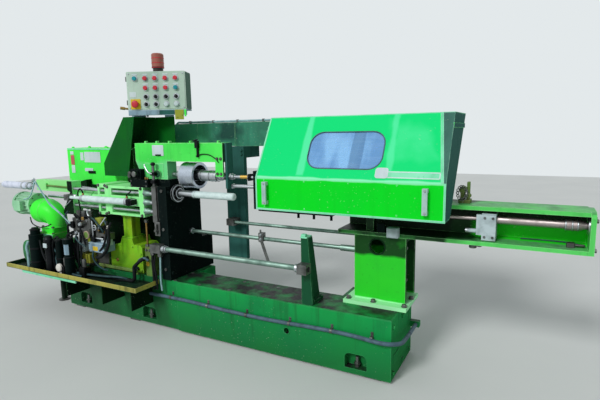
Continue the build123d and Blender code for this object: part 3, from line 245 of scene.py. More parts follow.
def bare_metal(name, colour, dark, roughness=0.35, grime=0.4, along=(1, 1, 1)):
    """Turned or milled bare metal under a film of oil: greasy patches 90 mm across, and tool lines drawn 5 mm wide,
    coarser than real ones so that they show, stretched along one axis."""
    material, shader, node, where = blank_material(name)
    shader.inputs["Metallic"].default_value = 1.0
    patches = node(NOISE, {"Vector": where, "Scale": 1000 / 90, "Detail": 4.0})
    drawn = node(MAPPING, {"Vector": where, "Scale": tuple(1 / a for a in along)})
    lines = node(NOISE, {"Vector": drawn, "Scale": 1000 / 5, "Detail": 3.0})
    greasy = node(RANGE, {"Value": patches, "From Min": 0.45, "From Max": 0.72, "To Max": grime})
    shade = node(MIX, {0: greasy, 6: colour, 7: dark}, out=2, data_type="RGBA")
    scored = node(RANGE, {"Value": lines, "From Min": 0.35, "From Max": 0.75, "To Max": 0.3})
    shade = node(MIX, {0: scored, 6: shade, 7: dark}, out=2, data_type="RGBA")
    film = {"Value": patches, "From Min": 0.4, "From Max": 0.7, "To Min": roughness, "To Max": roughness + 0.2}
    dull = node(RANGE, {"Value": lines, "From Min": 0.3, "From Max": 0.7, "To Max": 0.08})
    rough = node(MATH, {0: node(RANGE, film), 1: dull}, operation="ADD")
    finish_surface(node, shader, shade, rough, lines, 0.15)
    return material


def moulded(name, colour, dark, roughness=0.4, speck_mm=6, depth_mm=0.2, above=None, specular=0.3):
    """Moulded plastic, rubber or a smooth coat: dusty patches 45 mm across over a fine grain with a faint bump.
    above is a height in metres and the two colours over it."""
    material, shader, node, where = blank_material(name, specular)
    patches = node(NOISE, {"Vector": where, "Scale": 1000 / 45, "Detail": 4.0})
    fine = node(NOISE, {"Vector": where, "Scale": 1000 / speck_mm, "Detail": 2.0})
    dusty = node(RANGE, {"Value": patches, "From Min": 0.42, "From Max": 0.72, "To Max": 0.7})
    shade = node(MIX, {0: dusty, 6: colour, 7: dark}, out=2, data_type="RGBA")
    if above:
        over = node(MIX, {0: dusty, 6: above[1], 7: above[2]}, out=2, data_type="RGBA")
        height_z = node(SPLIT, {0: where}, out=2)
        step = node(RANGE, {"Value": height_z, "From Min": above[0], "From Max": above[0] + 0.002})
        shade = node(MIX, {0: step, 6: shade, 7: over}, out=2, data_type="RGBA")
    film = {"Value": patches, "From Min": 0.4, "From Max": 0.7, "To Min": roughness, "To Max": roughness + 0.15}
    dull = node(RANGE, {"Value": fine, "From Min": 0.3, "From Max": 0.7, "To Max": 0.06})
    rough = node(MATH, {0: node(RANGE, film), 1: dull}, operation="ADD")
    finish_surface(node, shader, shade, rough, fine, depth_mm)
    return material


def clear_sheet(name, colour, dull):
    """Clear acrylic sheet, hazed and scratched: a fifth of the light goes through, the rest shows a bluish painted
    reflection of the sky in tall bands 120 mm wide, a darker painted reflection in one band 70 mm wide, under
    wiping scratches 18 mm long."""
    material, shader, node, where = blank_material(name, 0.15)
    shader.inputs["Transmission Weight"].default_value = 0.2
    shader.inputs["IOR"].default_value = 1.49
    tall = node(MAPPING, {"Vector": where, "Scale": (1.0, 0.3, 0.3)})
    bands = node(NOISE, {"Vector": tall, "Scale": 1000 / 120, "Detail": 5.0})
    reflection_share = node(RANGE, {"Value": bands, "From Min": 0.4, "From Max": 0.62})
    sky_reflection = node(MIX, {0: reflection_share, 6: colour, 7: dull}, out=2, data_type="RGBA")
    reflection_low = (DARK_REFLECTION_BAND[0], HOOD_FRONT - 20, HOOD_RIDGE - 5)
    reflection_high = (DARK_REFLECTION_BAND[1], HOOD_BROW + 80, HOOD_TOP + 10)
    dark_reflection = zone(node, where, reflection_low, reflection_high, 9, bands)
    dark_reflection = node(MATH, {0: dark_reflection, 1: 0.55}, operation="MULTIPLY")
    sky_reflection = node(MIX, {0: dark_reflection, 6: sky_reflection, 7: "#46709e"}, out=2, data_type="RGBA")
    wiped = node(MAPPING, {"Vector": where, "Scale": (1 / 8, 1.0, 1.0)})
    scratches = node(NOISE, {"Vector": wiped, "Scale": 1000 / 18, "Detail": 3.0})
    rough = node(RANGE, {"Value": scratches, "From Min": 0.4, "From Max": 0.7, "To Min": 0.15, "To Max": 0.45})
    finish_surface(node, shader, sky_reflection, rough, scratches, 0.05)
    return material


FINISHES = {
    # Thick brush enamel on cast iron, oily dark at its foot, rubbed to dirty grey on top, and a painted shade over
    # its left part, deepest at the left end
    "bed": machine_enamel(
        "bed_casting_enamel", "#089a48", "#067c40", low=(0.02, 0.36), low_share=0.5, top="#191e20", top_share=1.0,
        streaks=0.5, edge="#58bc7c", edge_share=0.5,
        zones=[((-1600, -320, 0), (-380, 300, 413), "#165a30", 0.9, 160),
               ((-1600, -320, 0), (-1000, 300, 413), "#134226", 0.8, 160)]),
    # Sprayed bright enamel on the column, pale along its edges; a painted shadow of the hood and beam across its
    # top, painted shade in its recess and on its faces towards +X, and painted light on its upward faces and foot
    # plate
    "column": machine_enamel(
        "column_enamel", "#2cd428", "#26ca2a", low=(0.36, 0.45), low_share=0.2, streaks=0.1, edge="#a8f4a4",
        chips=0.15, edge_mm=9, side="#0c3a1c", top="#84d890", top_share=0.6,
        zones=[((1190, -20, 750), (1545, 250, 880), "#042a0c", 0.95, 18),
               ((1425, 12, 452), (1545, 250, 860), "#10301c", 0.92, 12),
               ((1090, -110, 414), (1640, 270, 446), "#b0fcc0", 0.9, 8)]),
    # The feed beam: painted light on the lower back wall at its right part, a painted shadow of the top flange on
    # the wall above it and of the hood on its left part, and painted light on its upward faces
    "beam": machine_enamel(
        "beam_enamel", "#5cd466", "#50c65a", streaks=0.2, top="#84cc94", top_share=0.75, edge="#a4eaa2",
        edge_share=0.8, dirt="#22382a",
        zones=[((1900, 120, 880), (2530, 230, 1000), "#22f41c", 0.9, 20),
               ((1060, 10, 1010), (2530, 230, 1094), "#07140b", 0.96, 14),
               ((1060, -20, 868), (1760, 235, 1090), "#051c0d", 0.92, 30),
               ((1060, 60, 880), (1900, 235, 1090), "#062410", 0.9, 60)]),
    # Fresh gloss coat on folded sheet: one green up to the fold, a cooler one on the slope that is partly a painted
    # reflection of the sky, paler in bands beside the window, along the fold and in a patch up the slope, and
    # painted shade on the ends towards +X
    "hood": machine_enamel(
        "hood_sheet_enamel", "#04e020", "#05d828", streaks=0.08, edge="#9af2bc", edge_share=0.85, edge_mm=9,
        chips=0.35, specular=0.08, side="#33645c",
        zones=[((570, -260, 1256), (1804, 400, 1665), "#02dc78", 0.97, 4),
               ((888, -245, 1290), (912, 40, 1660), "#6ef4bc", 0.55, 14),
               ((1468, -245, 1290), (1486, 40, 1660), "#6ef4bc", 0.45, 14),
               ((570, -250, 1249), (1820, -225, 1262), "#a0f6cc", 0.7, 7),
               ((1500, -120, 1440), (1700, 0, 1560), "#58f0a8", 0.4, 60)]),
    # Bright enamel of the overhead arm, pale along its edges, partly as a painted highlight, with painted shade on
    # its end towards +X and a paler patch on its leg
    "arm": machine_enamel(
        "arm_enamel", "#54ee5c", "#40dc50", streaks=0.2, edge="#b4f4b2", edge_mm=10, edge_share=0.9, side="#16482a",
        zones=[((-600, -200, 1200), (-250, -80, 1330), "#78d896", 0.75, 40)]),
    # Handled enamel of the head castings: oily runs, pale corners that are partly rubbed and partly a painted
    # highlight
    "head": machine_enamel(
        "head_enamel", "#a0ffa4", "#8af292", streaks=0.22, edge="#d0f6ce", edge_share=0.9, edge_mm=10),
    # Dark green enamel on the bent guard sheet, hardly worn
    "guard": machine_enamel(
        "guard_sheet_enamel", "#035f18", "#054a22", streaks=0.15, edge="#3a9a4e", edge_share=0.5, chips=0.4,
        dirt="#06180f", specular=0.1),
    # The cleanest coat, on the cylinder housing, paler over the slideway, with a painted shadow at its right end
    # behind the arm and the guard's cheek
    "housing": machine_enamel(
        "housing_enamel", "#48fc4e", "#44ec4c", streaks=0.12, edge="#b8f6b2", edge_share=0.85,
        zones=[((-2340, 40, 990), (-1790, 170, 1115), "#a8e8a0", 0.75, 25),
               ((-985, 50, 1090), (-890, 310, 1440), "#06240e", 0.95, 12)]),
    # Thin enamel on the long rear cover: dusty green at both ends, with a painted reflection between, dark, then
    # lighter towards the right
    "cover": machine_enamel(
        "rear_cover_enamel", "#4aaa76", "#409476", streaks=0.3, edge="#9fe0a8", edge_share=0.7, dirt="#18382e",
        zones=[((-290, 400, 1490), (20, 490, 1650), "#0b2630", 0.85, 80),
               ((20, 400, 1430), (300, 490, 1650), "#2c5a52", 0.7, 80)]),
    # Glossy bright enamel on the round pump castings, with painted light on the elbow's lower part and on upward
    # faces
    "pump": machine_enamel(
        "pump_enamel", "#60f45e", "#52e250", streaks=0.08, edge="#b8f8b2", edge_share=0.7, top="#8ce09a",
        top_share=0.6, gloss=0.34, zones=[((-1850, -380, 694), (-1530, -90, 930), "#34ff2c", 0.8, 60)]),
    # The motor's green under a coat of pale dust
    "motor": machine_enamel(
        "motor_dusty_enamel", "#a0dcae", "#84c096", streaks=0.3, edge="#d4eed4", dirt="#4a6656", top="#c4e2cc",
        top_share=0.8, specular=0.1),
    # The tank's enamel, drowned in oil at its foot
    "tank": machine_enamel(
        "tank_enamel", "#3f9656", "#2f7548", streaks=0.6, edge="#8fc898", low=(0.36, 0.5), low_share=0.8,
        dirt="#0e1a14"),
    # Yellow-green enamel under brown oil runs
    "gearcase": machine_enamel(
        "gearcase_oily_enamel", "#74d022", "#8aac1c", streaks=0.9, low=(0.40, 0.60), low_share=0.45,
        edge="#bce068", dirt="#2b3210"),
    # Dull green of the gusset, with a pale rim that is partly rubbed and partly a painted highlight
    "gusset": machine_enamel(
        "gusset_enamel", "#084c2c", "#083e28", streaks=0.5, edge="#68b47a", edge_share=0.6, dirt="#08180f"),
    # Almost black enamel soaked with oil, on the platen, the tail bracket, the small pumps and the pilot valve
    "dark": machine_enamel(
        "oily_dark_enamel", "#061614", "#05100f", dirt="#030606", edge="#33443f", edge_share=0.35, streaks=0.4,
        chips=0.2, top="#2a342e", top_share=0.5, specular=0.06, gloss=0.55),
    # Dark green enamel of the posts behind and of the spindle's hanger, matt under dust
    "post": machine_enamel(
        "post_dark_green_enamel", "#33655e", "#284e48", dirt="#0d1a18", edge="#2c5648", edge_share=0.5,
        streaks=0.4, chips=0.2, specular=0.06, gloss=0.55),
    # Dark, smoked green of the upright behind the head
    "upright": machine_enamel(
        "smoked_green_enamel", "#08260f", "#06180e", dirt="#030706", edge="#2c6a3a", streaks=0.5, specular=0.06,
        gloss=0.55),
    # The tray's green sheet, black with standing oil inside
    "tray": machine_enamel(
        "tray_enamel", "#164a2e", "#0f3524", streaks=0.6, edge="#5f7a50", edge_share=0.4, low=(0.33, 0.40),
        low_share=0.8, dirt="#0a0f0a", top="#0e1712", top_share=0.9),
    # Old yellow line paint on the tray's lip, rubbed and oily
    "lip": machine_enamel(
        "yellow_lip_enamel", "#a8a24a", "#8c8a40", streaks=0.75, edge="#d2cc84", edge_share=0.7, dirt="#2e3218",
        chips=0.8),
    # Grey box enamel, slightly green, clean round the buttons, with painted shade on its faces towards +X
    "cream": machine_enamel(
        "grey_box_enamel", "#bcd2c2", "#a4bcac", streaks=0.2, edge="#e2eee6", chips=0.3, dirt="#5c6860",
        side="#5c7a6c"),
    # Blue-grey sheet enamel, streaked by wiping
    "shelf": machine_enamel(
        "blue_grey_sheet_enamel", "#8aa6b6", "#7690a0", streaks=0.5, edge="#d2e0e6", dirt="#363c38"),
    # Olive-brown enamel of the pillar, where green shows through the grime
    "brown": machine_enamel(
        "olive_brown_enamel", "#6a9c44", "#60683a", streaks=0.6, edge="#a8a870", dirt="#1e1c0e"),
    # Signal yellow plate behind the stop button
    "yellow": machine_enamel(
        "yellow_plate_enamel", "#dcbc2c", "#c6a626", streaks=0.2, edge="#f0e28c", dirt="#5a4c1c"),
    # Bare aluminium-coloured label plates with nothing printed on them
    "plate": machine_enamel(
        "bare_label_plate", "#cfdcde", "#b8c8cc", streaks=0.15, edge="#eef6f2", dirt="#6a7a76", chips=0.1),
    # A bare reddish plate, faded
    "red_plate": machine_enamel(
        "bare_red_plate", "#c25c60", "#ac4c52", streaks=0.2, edge="#e4b4b0", dirt="#5a2a2a", chips=0.3),
    # Enamel rubbed through to its pale undercoat along edges that hands and parts pass over
    "pale_green": machine_enamel(
        "pale_rubbed_enamel", "#8fe6bc", "#70d8a4", streaks=0.3, edge="#c8f6de", dirt="#2e7a54", specular=0.1),
    # Grey-green painted shade on the strip at the hood's right end, the tone of the shaded end face
    "dusty": machine_enamel(
        "painted_end_shade_strip", "#38705f", "#2f6256", streaks=0.3, edge="#9fd8bc", edge_share=0.6, dirt="#1a3a32"),
    # Yellowish oil spatter over green
    "yellow_green": machine_enamel(
        "yellow_green_spatter", "#a4a63a", "#78882c", streaks=0.6, edge="#d0d080", dirt="#2c3010"),
    # Mild steel left bare, brown-black with grease in its hollows
    "worn": bare_metal("greasy_mild_steel", "#7c7e7c", "#24251f", 0.45, 0.8),
    # Turned steel kept bright by oil
    "bright": bare_metal("bright_turned_steel", "#ccd2d6", "#4c4e50", 0.25, 0.5),
    # The drum's polished face, with faint bands round it
    "drum": bare_metal("polished_drum_steel", "#c6cfda", "#56607a", 0.2, 0.45, along=(1, 6, 6)),
    # Drawn steel rods under a green-grey film of dried oil
    "rods": bare_metal("oily_guide_rod_steel", "#98b4a8", "#40584e", 0.45, 0.6, along=(20, 1, 1)),
    # Chemically blackened fittings
    "black": bare_metal("blackened_steel", "#26282a", "#0e0f0f", 0.4, 0.6),
    # The feed bar, speckled brown where grease has dried on ground steel
    "bar": bare_metal("stained_feed_bar_steel", "#bcb0ae", "#564642", 0.4, 0.6, along=(14, 1, 1)),
    # Dull brass fittings
    "brass": bare_metal("dull_brass", "#a88a50", "#4c3c22", 0.4, 0.7),
    # A new brass sleeve, yellow and bright
    "new_brass": bare_metal("bright_brass", "#e8c064", "#8a6a30", 0.3, 0.3),
    # Bare casting, speckled grey and white
    "speckled": moulded("speckled_grey_casting", "#b6c6ca", "#7e8c8e", 0.6, 5, 0.6),
    # The ram's pale ground sleeve, smooth as glazed plastic
    "sleeve": moulded("pale_ground_sleeve", "#d6e8e6", "#b0c8c6", 0.28, 4, 0.1),
    # Black hose rubber, dusty
    "rubber": moulded("black_hose_rubber", "#15191b", "#0c0e0f", 0.6, 3, 0.2, specular=0.15),
    # Hydraulic hose with a blue-grey jacket, and the window's gasket
    "grey_hose": moulded("blue_grey_hose_jacket", "#4b6472", "#2c3a42", 0.5, 4, 0.2),
    # Pale nylon, of thin hoses, a few pipes and the conduit on the rear cover
    "pale_hose": moulded("pale_nylon_hose", "#94b8bc", "#64888e", 0.4, 4, 0.1),
    # Dark teal hose jacket
    "teal_hose": moulded("teal_hose_jacket", "#28484c", "#142428", 0.5, 4, 0.2),
    # Faded orange lens over a dark foot
    "beacon": moulded("orange_beacon_lens", "#33302c", "#1c1a18", 0.3, 5, 0.1, above=(2.108, "#a46254", "#865044")),
    # Die-cast hood handles, greyish and smooth
    "handle": moulded("grey_handle_casting", "#a9c4c0", "#86a09e", 0.4, 5, 0.2),
    # Glossy red button caps
    "red": moulded("red_button_plastic", "#cc3440", "#a82834", 0.35, 3, 0.05),
    # Glossy blue-green button caps
    "teal": moulded("teal_button_plastic", "#1b949e", "#126c78", 0.3, 3, 0.05),
    # Black selector knobs
    "selector": moulded("black_selector_plastic", "#1f2423", "#121413", 0.35, 3, 0.05),
    # Beige moulding of the gauge's ring
    "beige": moulded("beige_gauge_moulding", "#b0a08c", "#84745f", 0.4, 4, 0.1),
    # White moulded filler cap, yellowed
    "white_cap": moulded("white_filler_cap", "#dcdad2", "#b4b0a6", 0.4, 5, 0.1),
    # Painted pressure vessel, almost white with a lavender cast
    "vessel": moulded("pale_lavender_enamel", "#d6dcec", "#aab4c8", 0.4, 5, 0.1),
    # The hood's window, bluish with a painted reflection of the sky
    "pane": clear_sheet("scratched_clear_sheet", "#92c8f6", "#72a6da"),
}

NODE_FINISHES = {
    "bed": "bed", "column": "column", "feed_beam": "beam", "hood_shell": "hood", "upper_arm": "arm",
    "crosshead": "head", "end_block": "head", "press_cylinder": "head", "head_guard": "guard",
    "cylinder_housing": "housing", "rear_cover": "cover", "pump_housing": "pump", "pump_motor": "motor",
    "oil_tank": "tank", "gear_housing": "gearcase", "gusset_post": "gusset", "head_upright": "upright",
    "platen": "dark", "cover_posts": "post", "spindle_hanger": "post", "tail_bracket": "dark",
    "hydraulic_pumps": "dark", "pilot_valve": "dark", "control_shelf": "shelf", "control_box": "cream",
    "drip_tray": "tray", "front_pillar": "brown", "junction_box": "shelf", "valve_stand": "worn",
    "floor_shims": "worn", "tie_plate": "worn", "rod_clamps": "worn", "hinge_pins": "worn",
    "hood_knuckles": "worn", "feed_block": "speckled", "guide_rods": "rods", "tie_rods": "bright",
    "ram_gland": "black", "ram_shank": "bright", "ram_sleeve": "sleeve", "side_cylinder": "sleeve",
    "spindle_drum": "drum", "spindle_shaft": "bright", "tail_rods": "bright", "feed_bar": "bar",
    "hood_window": "pane", "hood_handles": "handle", "beacon": "beacon", "control_buttons": "red",
    "accumulator": "plate", "return_pipe": "rubber", "supply_hose": "grey_hose",
}


# Shapes: points as an array of rows in millimetres, faces as lists of corner numbers

def quads_between(rings, corners):
    """Quads between neighbouring rings of a grid: corner j of ring i, joined to j + 1 and to ring i + 1."""
    i, j = np.meshgrid(np.arange(rings - 1), np.arange(corners), indexing="ij")
    following = (j + 1) % corners
    near, far = i * corners, (i + 1) * corners
    return np.stack([near + j, near + following, far + following, far + j], axis=-1).reshape(-1, 4).tolist()


def circles(profile, sides):
    """Ring i is (r cos a, r sin a, d) for row i, (d, r), of the profile."""
    profile = np.asarray(profile, float)
    angle = np.linspace(0, 2 * pi, sides, endpoint=False)
    flat = profile[:, 1, None, None] * np.stack([np.cos(angle), np.sin(angle)], axis=-1)[None]
    along = np.broadcast_to(profile[:, 0, None, None], (len(profile), sides, 1))
    return np.concatenate([flat, along], axis=-1).reshape(-1, 3)


def turned(profile, sides=32):
    """A profile of (distance, radius) rows turned about Z, closed by a fan at each end."""
    points = circles(profile, sides)
    last = (len(profile) - 1) * sides
    points = np.concatenate([points, [[0, 0, profile[0][0]], [0, 0, profile[-1][0]]]])
    here = np.arange(sides)
    after = (here + 1) % sides
    low_cap = np.stack([after, here, np.full(sides, len(points) - 2)], axis=-1).tolist()
    high_cap = np.stack([last + here, last + after, np.full(sides, len(points) - 1)], axis=-1).tolist()
    return points, quads_between(len(profile), sides) + low_cap + high_cap


def ring_shape(profile, sides=40):
    """A closed profile of (distance, radius) rows, up its outside and down its inside, turned about Z."""
    points = circles(profile, sides)
    faces = np.array(quads_between(len(profile) + 1, sides)) % len(points)
    return points, faces.tolist()


def plain_ring(low, high, inner, outer, sides=40):
    """A ring between two distances and two radii, with its outer corners eased."""
    ease = min((high - low) / 4, 2)
    return ring_shape([(low, outer - ease), (low + ease, outer), (high - ease, outer), (high, outer - ease),
                       (high, inner), (low, inner)], sides)


def rounded_box(size, corner, steps=3):
    """An outline with four quarter circles at its corners, carried up through four levels: the first and the last
    are a little smaller, which eases the edges."""
    half = np.array(size, float) / 2
    corner = min(corner, half[0] * 0.98, half[1] * 0.98)
    quarter = np.linspace(0, pi / 2, steps + 1)
    outline = []
    for turn, sx, sy in ((0, 1, 1), (1, -1, 1), (2, -1, -1), (3, 1, -1)):
        angle = quarter + turn * pi / 2
        outline.append(np.stack([sx * (half[0] - corner) + corner * np.cos(angle),
                                 sy * (half[1] - corner) + corner * np.sin(angle)], axis=-1))
    outline = np.concatenate(outline)
    ease = min(corner, half[2], 4.0) * 0.5
    shrink = 1 - ease / half[:2]
    levels = [(-half[2], shrink), (-half[2] + ease, 1), (half[2] - ease, 1), (half[2], shrink)]
    count = len(outline)
    points = np.concatenate([np.concatenate([outline * s, np.full((count, 1), z)], axis=1) for z, s in levels])
    caps = [list(range(count))[::-1], list(range(3 * count, 4 * count))]
    return points, quads_between(4, count) + caps


def prism(outline, low, high):
    """An outline of (a, b) rows, counterclockwise, carried from one distance to another."""
    outline = np.asarray(outline, float)
    count = len(outline)
    levels = [np.concatenate([outline, np.full((count, 1), z)], axis=1) for z in (low, high)]
    caps = [list(range(count))[::-1], list(range(count, 2 * count))]
    return np.concatenate(levels), quads_between(2, count) + caps


# A slanting direction that no path here runs along; each ring's own side is square to it and to the path
LEAN = (0.31, 0.17, 0.93)


def swept(path, radius, sides=10, closed=False):
    """A round tube along a path of points: each ring lies across the path's direction and is turned with it."""
    path = np.asarray(path, float)
    padded = np.concatenate([path[-1:], path, path[:1]]) if closed else path
    ahead = np.gradient(padded, axis=0)
    ahead = ahead[1:-1] if closed else ahead
    ahead /= np.linalg.norm(ahead, axis=1)[:, None]
    side = np.cross(ahead, LEAN)
    side /= np.linalg.norm(side, axis=1)[:, None]
    up = np.cross(ahead, side)
    angle = np.linspace(0, 2 * pi, sides, endpoint=False)
    radius = np.broadcast_to(np.asarray(radius, float), (len(path),))
    turn = np.cos(angle)[None, :, None] * side[:, None] + np.sin(angle)[None, :, None] * up[:, None]
    points = (path[:, None] + radius[:, None, None] * turn).reshape(-1, 3)
    if closed:
        return points, (np.array(quads_between(len(path) + 1, sides)) % len(points)).tolist()
    last = (len(path) - 1) * sides
    caps = [list(range(sides))[::-1], list(range(last, last + sides))]
    return points, quads_between(len(path), sides) + caps


def smooth_path(points, count=28):
    """A smooth line through the points: each stretch is the cubic set by its ends and its neighbours."""
    p = np.asarray(points, float)
    p = np.concatenate([2 * p[:1] - p[1:2], p, 2 * p[-1:] - p[-2:-1]])
    spans = len(p) - 3
    u = np.linspace(0, spans, count)
    k = np.minimum(u.astype(int), spans - 1)
    t = (u - k)[:, None]
    a, b, c, d = p[k], p[k + 1], p[k + 2], p[k + 3]
    return 0.5 * (2 * b + (c - a) * t + (2 * a - 5 * b + 4 * c - d) * t ** 2 + (3 * b - a - 3 * c + d) * t ** 3)


def tube(points, radius, count=28, sides=10):
    """A hose or pipe through a few points."""
    return swept(smooth_path(points, count), radius, sides)


def hoses(*runs):
    """Several hoses as one shape: each run is a radius and the points that it passes."""
    return joined([tube(points, radius) for radius, *points in runs])


# Rows are where a shape's own X, Y and Z go
AXES = {
    "x": np.array([[0, 1, 0], [0, 0, 1], [1, 0, 0]], float),
    "-x": np.array([[0, -1, 0], [0, 0, 1], [-1, 0, 0]], float),
    "y": np.array([[1, 0, 0], [0, 0, -1], [0, 1, 0]], float),
    "-y": np.array([[1, 0, 0], [0, 0, 1], [0, -1, 0]], float),
    "z": np.eye(3),
    "-z": np.array([[1, 0, 0], [0, -1, 0], [0, 0, -1]], float),
}
# Which of a box's sizes are the shape's own X, Y and Z, for each axis
BOX_ORDER = {"x": [1, 2, 0], "y": [0, 2, 1], "z": [0, 1, 2]}


def placed(shape, place, axis="z"):
    """Turns a shape so its Z points along the axis, and moves it to its place."""
    points, faces = shape
    return points @ AXES[axis] + np.asarray(place, float), faces


def joined(shapes):
    """Several shapes as one: the corner numbers of each start after those before it."""
    points, faces, start = [], [], 0
    for shape_points, shape_faces in shapes:
        points.append(shape_points)
        faces += [[corner + start for corner in face] for face in shape_faces]
        start += len(shape_points)
    return np.concatenate(points), faces


def stamped(shape, places, axis="z"):
    """One shape repeated at several places, as one shape."""
    return joined([placed(shape, place, axis) for place in places])


def slab(low, high, corner=3.0, axis="z"):
    """A rounded box between its lowest and highest corners; its rounded edges run along the axis."""
    low, high = np.asarray(low, float), np.asarray(high, float)
    return placed(rounded_box((high - low)[BOX_ORDER[axis]], corner), (low + high) / 2, axis)


def rings_on(line, rows, sides=40):
    """Rings round a line along X given as (y, z): one for each row of (x, width, inner radius, outer radius)."""
    return [placed(plain_ring(0, width, inner, outer, sides), (x, *line), "x") for x, width, inner, outer in rows]


def bolt_circle(x, line, radius, count, start=0.0):
    """Places round a line along X: (x, y + r cos a, z + r sin a) for count angles from start."""
    angle = np.linspace(0, 2 * pi, count, endpoint=False) + start
    return [(x, line[0] + radius * cos(a), line[1] + radius * sin(a)) for a in angle]


def rod(start, end, radius, sides=20):
    """A round rod with eased ends between two points."""
    start, end = np.asarray(start, float), np.asarray(end, float)
    ease = (end - start) / np.linalg.norm(end - start) * min(radius * 0.3, 3)
    return swept([start, start + ease, end - ease, end], [radius * 0.85, radius, radius, radius * 0.85], sides)


def piece(name, shape, finish, body="machine", smooth=35, replaces=()):
    """Makes the object of a shape given in millimetres and hands it to the frame."""
    points, faces = shape
    mesh = bpy.data.meshes.new(name)
    mesh.from_pydata((points / 1000).tolist(), [], faces)
    mesh.materials.append(FINISHES[finish])
    mesh.shade_smooth()
    mesh.set_sharp_from_angle(angle=radians(smooth))
    made = bpy.data.objects.new(name, mesh)
    bpy.context.scene.collection.objects.link(made)
    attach(made, body)
    if replaces:
        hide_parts(*replaces)


def hex_head(across, height):
    """A hexagon head on a washer, chamfered at its top: a six sided profile over a round one."""
    r = across / 2
    washer = turned([(0, r * 1.3), (1.6, r * 1.3)], 16)
    head = turned([(1.6, r * 1.1), (height * 0.85, r * 1.1), (height, r * 0.9)], 6)
    return joined([washer, head])


def socket_head(radius, height):
    """A round socket head: an eased rim, and a dished hollow in the middle."""
    return turned([(0, radius), (height * 0.85, radius), (height, radius * 0.9), (height, radius * 0.5),
                   (height * 0.55, radius * 0.45)], 16)


def on_station(shape):
    """Turns a shape given on the control box's own axes about Z, and moves it to the box's corner."""
    points, faces = shape
    c, s = cos(STATION_TURN), sin(STATION_TURN)
    return points @ np.array([[c, s, 0], [-s, c, 0], [0, 0, 1]]) + STATION_CORNER, faces


def add_studio():
    """A pale floor, a pale world for the camera, a soft sky light, and a key light from the front and above."""
    floor_material, shader, node, where = blank_material("pale_floor", 0.2)
    swept_patches = node(NOISE, {"Vector": where, "Scale": 1.1, "Detail": 5.0})
    shade = node(MIX, {0: swept_patches, 6: "#d6d8d6", 7: "#cccfce"}, out=2, data_type="RGBA")
    rough = node(RANGE, {"Value": swept_patches, "From Min": 0.3, "From Max": 0.7, "To Min": 0.7, "To Max": 0.9})
    grit = node(NOISE, {"Vector": where, "Scale": 1000 / 8, "Detail": 2.0})
    finish_surface(node, shader, shade, rough, grit, 0.2)
    mesh = bpy.data.meshes.new("studio_floor")
    corners = [(FLOOR_HALF * sx, FLOOR_HALF * sy, 0) for sx, sy in ((-1, -1), (1, -1), (1, 1), (-1, 1))]
    mesh.from_pydata(corners, [], [(0, 1, 2, 3)])
    mesh.materials.append(floor_material)
    floor = bpy.data.objects.new("studio_floor", mesh)
    bpy.context.scene.collection.objects.link(floor)

    world = bpy.data.worlds.new("studio")
    world.use_nodes = True
    tree = world.node_tree
    sky = tree.nodes["Background"]
    sky.inputs["Color"].default_value = linear("#eef4f6")
    node = partial(add_node, tree)
    rays = node("ShaderNodeLightPath", {}).node.outputs
    seen = node(MATH, {0: rays["Is Camera Ray"], 1: rays["Is Glossy Ray"]}, operation="MAXIMUM")
    seen = node(MATH, {0: seen, 1: rays["Is Transmission Ray"]}, operation="MAXIMUM")
    strength = node(RANGE, {"Value": seen, "To Min": SKY_LIGHT, "To Max": SKY_SEEN})
    tree.links.new(strength, sky.inputs["Strength"])
    bpy.context.scene.world = world

    key = bpy.data.objects.new("key_light", bpy.data.lights.new("key_light", "SUN"))
    key.data.energy = KEY_STRENGTH
    key.data.angle = KEY_SOFTNESS
    key.rotation_euler = KEY_TURN
    bpy.context.scene.collection.objects.link(key)


